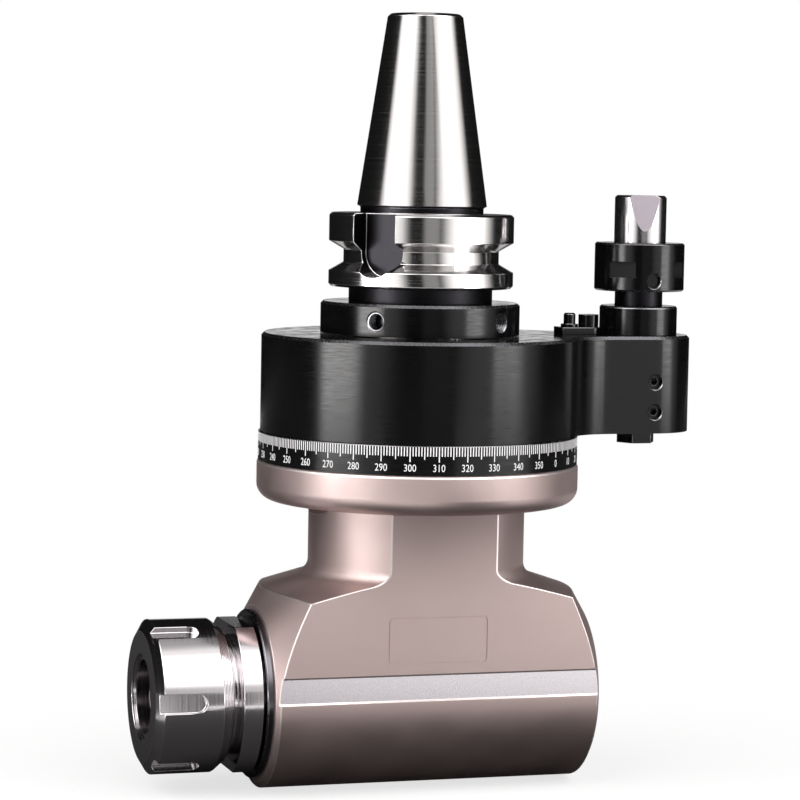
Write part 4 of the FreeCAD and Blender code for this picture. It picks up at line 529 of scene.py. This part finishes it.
def on_strip(centre, normal):
    """Whether a face of the body lies on the sunk, ground strip of either flat."""
    low, high = STRIP_LEVELS
    return low < centre.z < high and abs(abs(centre.y) - STRIP_FLAT) < 0.02


collar_sinks = [countersink(*on_rim(COLLAR_RADIUS, turn, COLLAR_HOLE_LEVEL),
                            COLLAR_HOLE_RADIUS, 0.5, BLACK) for turn in COLLAR_HOLE_TURNS]
arm_sinks = [countersink((PIN_REACH, ARM_HALF, level), (0, -1, 0), GRUB_RADIUS, 0.45, BLACK)
             for level in ARM_SCREW_LEVELS]
pin_spot, pin_facing = on_rim(PIN_COLLAR_RADIUS, PIN_SCREW_TURN, PIN_SCREW_LEVEL)
pin_sinks = [countersink(pin_spot + np.array([PIN_REACH, 0, 0]), pin_facing, GRUB_RADIUS,
                         0.45, BLACK)]

finished("taper_shank", STEEL, 0.15, patches=(unground,))
finished("positioning_collar", BLACK, 0.2, collar_sinks, chamfers=True)
finished("stop_housing", BLACK, 0.2, arm_sinks, chamfers=True)
finished("scale_ring", BLACK, 0.1)
finished("head_body", BODY, 0.32, patches=(on_strip,),
         engraved=[engraved_groove(BODY)])
finished("output_spindle", NOSE, 0.15)
finished("collet_nut", NOSE, 0.22)
finished("nut_closing_ring", NOSE, 0.1)
finished("nose_gland", DARK_NOSE, 0.12)
finished("rear_cover", DARK_NOSE, 0.2)
finished("rear_cover_screws", DARK_NOSE, 0.12)
finished("stop_pin", PIN, 0.12, patches=(below_collar, on_facet))
finished("pin_collar", BLACK, 0.15, pin_sinks, True, (spanner_seat,))
for node, width in (("pin_guide_sleeve", 0.15), ("latch_plate", 0.15),
                    ("latch_plate_screw", 0.12), ("latch_post", 0.1), ("spring_plug", 0.15),
                    ("arm_set_screws", 0.1), ("pin_collar_screw", 0.1),
                    ("collar_set_screws", 0.1)):
    finished(node, BLACK, width, chamfers=node == "pin_guide_sleeve")

# The nodes themselves, which show only where no copy stands for them
for node, original in frame["nodes"].items():
    finish = bearing_steel
    if node.endswith("seal"):
        finish = rubber
    elif node == "pin_spring":
        finish = spring_wire
    elif node in ("clamp_screws", "clamp_shoes"):
        finish = housing_black
    original.data.materials.clear()
    original.data.materials.append(finish)


# The graduated ring's white marks

ZERO_TURN = 39.7            # the zero mark, in degrees from the front towards +X
MARK_WIDTH = 0.36
MARK_LENGTHS = (3.0, 4.0, 4.9)      # each degree, each fifth and each tenth
MARK_TOP = RING_TOP - 0.4
MARK_SINK, MARK_PROUD = 0.05, 0.02
FIGURE_HEIGHT = 2.4
FIGURE_LEVEL = -84.9        # foot of the figures
FIGURE_SQUEEZE = 0.82


def ring_point(turn, radius, level):
    """Points on the ring: (radius * sin turn, -radius * cos turn, level), turn in radians."""
    return np.stack(np.broadcast_arrays(radius * np.sin(turn), -radius * np.cos(turn), level),
                    axis=-1)


def scale_marks():
    """A closed thin block for each degree, its length by fives and tens.

    Each block's corners are its turn plus or minus half a width, at two radii and levels.
    """
    degree = np.arange(360)
    length = np.where(degree % 10 == 0, MARK_LENGTHS[2],
                      np.where(degree % 5 == 0, MARK_LENGTHS[1], MARK_LENGTHS[0]))
    side = np.array([-1, 1, 1, -1, -1, 1, 1, -1]) * MARK_WIDTH / 2 / RING_RADIUS
    drop = np.array([1, 1, 0, 0, 1, 1, 0, 0])
    radius = RING_RADIUS + np.array([MARK_PROUD] * 4 + [-MARK_SINK] * 4)
    turn = np.radians(degree + ZERO_TURN)[:, None] + side[None, :]
    level = MARK_TOP - length[:, None] * drop[None, :]
    points = ring_point(turn, radius[None, :], level).reshape(-1, 3)
    block = np.array([(0, 1, 2, 3), (5, 4, 7, 6), (4, 0, 3, 7), (1, 5, 6, 2), (3, 2, 6, 7),
                      (4, 5, 1, 0)])
    faces = (block[None] + degree[:, None, None] * 8).reshape(-1, 4)
    return new_mesh("scale_marks", points, faces, [white_fill])


def scale_figures():
    """Plain figures 0 to 350 by tens, wrapped round the ring under their marks.

    A flat figure's point (x, y) goes to turn + x / radius and to the level foot + y.
    """
    curve = bpy.data.curves.new("figures", "FONT")
    curve.align_x = "CENTER"
    curve.size = 1.0
    curve.resolution_u = 3
    writer = bpy.data.objects.new("figures", curve)
    bpy.context.scene.collection.objects.link(writer)
    points, faces, start, tall = [], [], 0, None
    for degree in range(0, 360, 10):
        curve.body = str(degree)
        curve.extrude = 0.01
        seen = bpy.context.evaluated_depsgraph_get()
        flat = bpy.data.meshes.new_from_object(writer.evaluated_get(seen))
        spots = np.empty(len(flat.vertices) * 3)
        flat.vertices.foreach_get("co", spots)
        spots = spots.reshape(-1, 3)
        tall = tall or float(np.ptp(spots[:, 1]))
        grow = FIGURE_HEIGHT / tall
        along = spots[:, 0] * grow * FIGURE_SQUEEZE
        turn = math.radians(degree + ZERO_TURN) + along / RING_RADIUS
        radius = np.where(spots[:, 2] > 0, RING_RADIUS + MARK_PROUD, RING_RADIUS - MARK_SINK)
        points.append(ring_point(turn, radius, FIGURE_LEVEL + spots[:, 1] * grow))
        faces += [[start + i for i in polygon.vertices] for polygon in flat.polygons]
        start += len(spots)
        bpy.data.meshes.remove(flat)
    bpy.data.objects.remove(writer)
    return new_mesh("scale_figures", np.concatenate(points), faces, [white_fill])


shown("scale_marks", scale_marks(), "head")
shown("scale_figures", scale_figures(), "head")


# Threads and turned ridges

def saw(value):
    """A triangle wave between 0 and 1 with a period of 1."""
    return np.abs((value % 1.0) * 2.0 - 1.0)


def ridged_cone(start, end, sink, ridges, rise):
    """A closed profile: ridges along a line of (radius, height), and back beneath it."""
    share = np.linspace(0, 1, ridges * 4 + 1)
    line = np.array(start) + share[:, None] * (np.array(end) - np.array(start))
    line[:, 0] += rise * saw(share * ridges + 0.5)
    beneath = np.array([[end[0] - sink, end[1]], [start[0] - sink, start[1]]])
    return np.concatenate([line, beneath])


def thread_ring(name, foot, outwards, radius, span, pitch, depth, wall, materials, count=48):
    """A thread's ridge as a closed sleeve; the ridge climbs one pitch for each turn.

    radius(t, h) = radius + depth * saw(h / pitch - t / 2 pi), on the side that shows. wall
    is how far the hidden side lies from it, outwards where it is positive.
    """
    heights = np.linspace(span[0], span[1], max(9, int((span[1] - span[0]) / pitch * 8)))
    face = np.stack([np.full_like(heights, radius), heights], axis=-1)
    hidden = np.array([[radius + wall, span[1]], [radius + wall, span[0]]])
    showing = np.concatenate([np.ones(len(face)), np.zeros(2)])

    def relief(turn, height):
        return depth * showing * saw(height / pitch - turn / (2 * np.pi))

    profile = np.concatenate([face, hidden])
    return loop_round(name, profile, np.asarray(foot, float), outwards, count, materials, relief)


SPINDLE_FOOT = np.array([0.0, 0.0, SPINDLE_LEVEL])
NUT_REAR = float(corners("collet_nut")[1][0])            # x of the nut's rear face
NUT_RADIUS = float(corners("collet_nut")[1][2]) - SPINDLE_LEVEL
NUT_BEVEL_RADIUS, NUT_BEVEL_LENGTH = 22.5, 4.3
RIDGES, RIDGE_RISE, RIDGE_SINK = 6, 0.22, 0.6
NOSE_RADIUS, NOSE_PITCH, NOSE_DEPTH = 20.0, 1.5, 0.22
NOSE_SPAN = (-NUT_REAR - 2.0, -NUT_REAR + 0.8)
HOLE_SPAN, HOLE_PITCH, HOLE_DEPTH = (-5.4, -0.55), 1.0, -0.35
LIFT = 0.02                 # a thread's foot stands off the face that carries it

shown("nut_rear_ridges", loop_round(
    "nut_rear_ridges", ridged_cone(
        (NUT_BEVEL_RADIUS + 0.05, -NUT_REAR + 0.15),
        (NUT_RADIUS - 0.25, -NUT_REAR + NUT_BEVEL_LENGTH - 0.2), RIDGE_SINK, RIDGES,
        RIDGE_RISE),
    SPINDLE_FOOT, (-1, 0, 0), 144, [polished_nose]), "nut")
shown("nose_thread", thread_ring(
    "nose_thread", SPINDLE_FOOT, (-1, 0, 0), NOSE_RADIUS + LIFT, NOSE_SPAN, NOSE_PITCH,
    NOSE_DEPTH, -0.4, [polished_nose], 144), "spindle")
for number, turn in enumerate(COLLAR_HOLE_TURNS):
    spot, facing = on_rim(COLLAR_RADIUS, turn, COLLAR_HOLE_LEVEL)
    shown(f"collar_thread_{number}", thread_ring(
        "collar_thread", spot, facing, COLLAR_HOLE_RADIUS - LIFT, HOLE_SPAN, HOLE_PITCH,
        HOLE_DEPTH, 0.2, [rubbed_oxide]), "shank")


# Studio

CAMERA_PLACE = (-0.3183, -0.9884, 0.0145)      # metres
CAMERA_HEADING = 17.504    # degrees from +Y towards +X
CAMERA_PITCH = 4.425       # degrees down
CAMERA_ROLL = 1.052
LENS = 137.0

# Soft boxes. Each has its left edge and how far that fades, its right edge and its fading,
# its lower edge and its upper edge with theirs, and its brightness. They are in degrees:
# turns to the right of the camera as seen from the object, and rises over the horizon.
BOXES = [
    (-181, 1, 181, 1, -90, 1, 90, 1, 0.008),     # the dark room
    (-72, 12, -32, 20, -14, 6, 50, 14, 1.4),     # tall box on the left
    (-70, 8, -50, 12, -9, 3, 0, 3, 12.0),        # its lamp, low in the box
    (6, 6, 20, 4, -14, 6, 30, 10, 0.3),          # gap beside the camera
    (44, 24, 78, 26, -14, 6, 52, 12, 1.4),       # wide box on the right
    (56, 2, 70, 14, -9, 3, 0, 3, 7.5),           # its lamp
    (-80, 12, -25, 20, 28, 10, 60, 10, 2.2),     # high lamp on the left
    (25, 20, 85, 20, 28, 10, 60, 10, 1.8),       # high lamp on the right
    (-90, 20, 95, 20, 34, 6, 70, 8, 1.1),        # box above the object
    (-181, 1, 181, 1, 74, 5, 90, 1, 0.5),        # and straight overhead
]
BACKDROP = (170.0, 4.0)    # the white backdrop: beyond this turn, and up to this rise


def soft_step(tree, value, low, high, top=1.0):
    """A smooth rise from nothing at low to top at high; it falls where high is less."""
    ends = {"From Min": low, "From Max": high, "To Min": 0.0, "To Max": top}
    if high < low:
        ends = {"From Min": high, "From Max": low, "To Min": top, "To Max": 0.0}
    return add(tree, "MapRange", {"Value": value, **ends},
               interpolation_type="SMOOTHSTEP").outputs[0]


def combined(tree, operation, values):
    """The sum or product of several values."""
    result = values[0]
    for value in values[1:]:
        result = add(tree, "Math", {0: result, 1: value}, operation=operation).outputs[0]
    return result


def surroundings(tree):
    """Brightness of the studio in each direction, and where its white backdrop is.

    turn is the angle to the right of the camera in degrees, and rise the height above
    the horizon. Each soft box is a window in turn times a window in rise, and the
    backdrop is the part of the side away from the camera that its picture takes in.
    """
    direction = add(tree, "TexCoord").outputs["Generated"]
    heading = math.radians(CAMERA_HEADING)
    right = (math.cos(heading), -math.sin(heading), 0.0)
    towards = (-math.sin(heading), -math.cos(heading), 0.0)
    side = add(tree, "VectorMath", {0: direction, 1: right}, operation="DOT_PRODUCT")
    front = add(tree, "VectorMath", {0: direction, 1: towards}, operation="DOT_PRODUCT")
    turn = add(tree, "Math", {0: side.outputs["Value"], 1: front.outputs["Value"]},
               operation="ARCTAN2").outputs[0]
    turn = add(tree, "Math", {0: turn}, operation="DEGREES").outputs[0]
    rise = add(tree, "SeparateXYZ", {0: direction}).outputs["Z"]
    rise = add(tree, "Math", {0: rise}, operation="ARCSINE").outputs[0]
    rise = add(tree, "Math", {0: rise}, operation="DEGREES").outputs[0]
    layers = []
    for left, left_soft, right_end, right_soft, low, low_soft, high, high_soft, power in BOXES:
        layers.append(combined(tree, "MULTIPLY", [
            soft_step(tree, turn, left - left_soft, left, power),
            soft_step(tree, turn, right_end + right_soft, right_end),
            soft_step(tree, rise, low - low_soft, low),
            soft_step(tree, rise, high + high_soft, high)]))
    away = add(tree, "Math", {0: turn}, operation="ABSOLUTE").outputs[0]
    backdrop = combined(tree, "MULTIPLY", [
        soft_step(tree, away, BACKDROP[0], BACKDROP[0] + 6.0),
        soft_step(tree, rise, BACKDROP[1] + 5.0, BACKDROP[1])])
    return combined(tree, "ADD", layers), backdrop


def background_rays(tree, reflected=1.0):
    """One for what the camera sees, and reflected for what metal and glass show."""
    path = add(tree, "LightPath").outputs
    mirrored = combined(tree, "ADD", [path["Is Glossy Ray"], path["Is Transmission Ray"]])
    mirrored = combined(tree, "MULTIPLY", [mirrored, reflected])
    return combined(tree, "ADD", [path["Is Camera Ray"], mirrored])


def studio():
    """Soft boxes in a dark room, a white backdrop, and the photograph's camera."""
    scene = bpy.context.scene
    scene.view_settings.view_transform = "Standard"
    world = bpy.data.worlds.new("studio")
    scene.world = world
    world.use_nodes = True
    tree = world.node_tree
    tree.nodes.clear()
    brightness, backdrop = surroundings(tree)
    room = add(tree, "Background", {"Color": linear("#fffdfc"), "Strength": brightness})
    white = add(tree, "Background", {"Color": (1, 1, 1, 1), "Strength": 1.0})
    mix = add(tree, "MixShader", {0: background_rays(tree, backdrop), 1: room.outputs[0],
                                  2: white.outputs[0]})
    add(tree, "OutputWorld", {"Surface": mix.outputs[0]})

    camera_data = bpy.data.cameras.new("camera")
    camera_data.lens = LENS
    camera_data.sensor_width = 36.0
    camera = bpy.data.objects.new("camera", camera_data)
    scene.collection.objects.link(camera)
    turn = (Matrix.Rotation(math.radians(-CAMERA_HEADING), 4, "Z")
            @ Matrix.Rotation(math.radians(90.0 - CAMERA_PITCH), 4, "X")
            @ Matrix.Rotation(math.radians(CAMERA_ROLL), 4, "Z"))
    camera.matrix_world = Matrix.Translation(CAMERA_PLACE) @ turn
    scene.camera = camera


FLOOR_LEVEL = cad_box[0].z / MM - 0.5
SHADOW_REACH = (0.05, 0.32)     # metres over which the floor's shadow gives way to white
SHADOW_FADE = (0.72, 1.0)       # share of plain white under the object and far from it
WEDGE_START = 190.0


def sheet(name, places, material):
    """A flat piece of the studio, by its corners in order."""
    mesh = bpy.data.meshes.new(name)
    mesh.from_pydata((np.array(places) * MM).tolist(), [], [range(len(places))])
    mesh.materials.append(material)
    board = shown(name, mesh)
    return board


def level_square(reach, level):
    """Corners of a level square about the object."""
    return [(-reach, -reach, level), (reach, -reach, level), (reach, reach, level),
            (-reach, reach, level)]


def floor():
    """White floor that keeps the soft shadow near the object and fades to plain white."""
    material, tree, surface = begin("pale_floor", **{
        "Base Color": linear("#f4f4f4"), "Roughness": 0.9})
    where = add(tree, "TexCoord").outputs["Object"]
    spread = add(tree, "VectorMath", {0: where, 1: (0, 0, FLOOR_LEVEL * MM)},
                 operation="DISTANCE")
    fade = soft_step(tree, spread.outputs["Value"], *SHADOW_REACH)
    fade = add(tree, "MapRange", {"Value": fade, "To Min": SHADOW_FADE[0],
                                  "To Max": SHADOW_FADE[1]}).outputs[0]
    seen = combined(tree, "MULTIPLY", [fade, background_rays(tree)])
    glow = add(tree, "Emission", {"Color": (1, 1, 1, 1), "Strength": 1.0})
    mixed = add(tree, "MixShader", {0: seen, 1: surface.outputs[0], 2: glow.outputs[0]})
    out = [node for node in tree.nodes if node.type == "OUTPUT_MATERIAL"][0]
    tree.links.new(mixed.outputs[0], out.inputs["Surface"])
    sheet("floor", level_square(1500.0, FLOOR_LEVEL), material)


def table_wedge(first, last, reach, level):
    """Corners of a wedge of the table between two turns from the camera, in degrees."""
    near, far = [], []
    for turn in np.radians(np.linspace(first, last, 9)):
        heading = math.radians(180.0 + CAMERA_HEADING) - turn
        way = np.array([math.sin(heading), math.cos(heading), 0.0])
        near.append(way * WEDGE_START + (0, 0, level))
        far.append(way * reach + (0, 0, level))
    return near + far[::-1]


def cards():
    """Cards that only reflections see.

    The table is black and shows the soft boxes in wedges before and behind the object. A
    grey card stands before the nut, and a black flag before the neck.
    """
    def card_stuff(name, brightness):
        return begin(name, **{"Base Color": linear("#1c1b1c"), "Roughness": 0.9,
                              "Emission Color": linear("#fffdfc"),
                              "Emission Strength": brightness})[0]

    low, high = FLOOR_LEVEL + 0.1, SPINDLE_LEVEL + 57.0
    by_nut = [(-32.0, -280.0, low), (9.0, -280.0, low), (9.0, -280.0, high),
              (-32.0, -280.0, high)]
    before_neck = [(-6.0, -88.0, -127.0), (60.0, -88.0, -127.0), (60.0, -88.0, -99.0),
                   (-6.0, -88.0, -99.0)]
    for name, places, brightness in (
            ("floor_card", level_square(1450.0, low), 0.0),
            ("left_reflection", table_wedge(-75, -25, 1400.0, low + 0.1), 1.0),
            ("right_reflection", table_wedge(26, 85, 1400.0, low + 0.1), 1.2),
            ("front_reflection", table_wedge(-25, 26, 600.0, low + 0.1), 1.2),
            ("back_reflection", table_wedge(110, 212, 650.0, low + 0.1), 0.5),
            ("nut_card", by_nut, 0.16), ("neck_flag", before_neck, 0.0)):
        card = sheet(name, places, card_stuff(name, brightness))
        card.visible_camera = card.visible_diffuse = card.visible_shadow = False


studio()
floor()
cards()
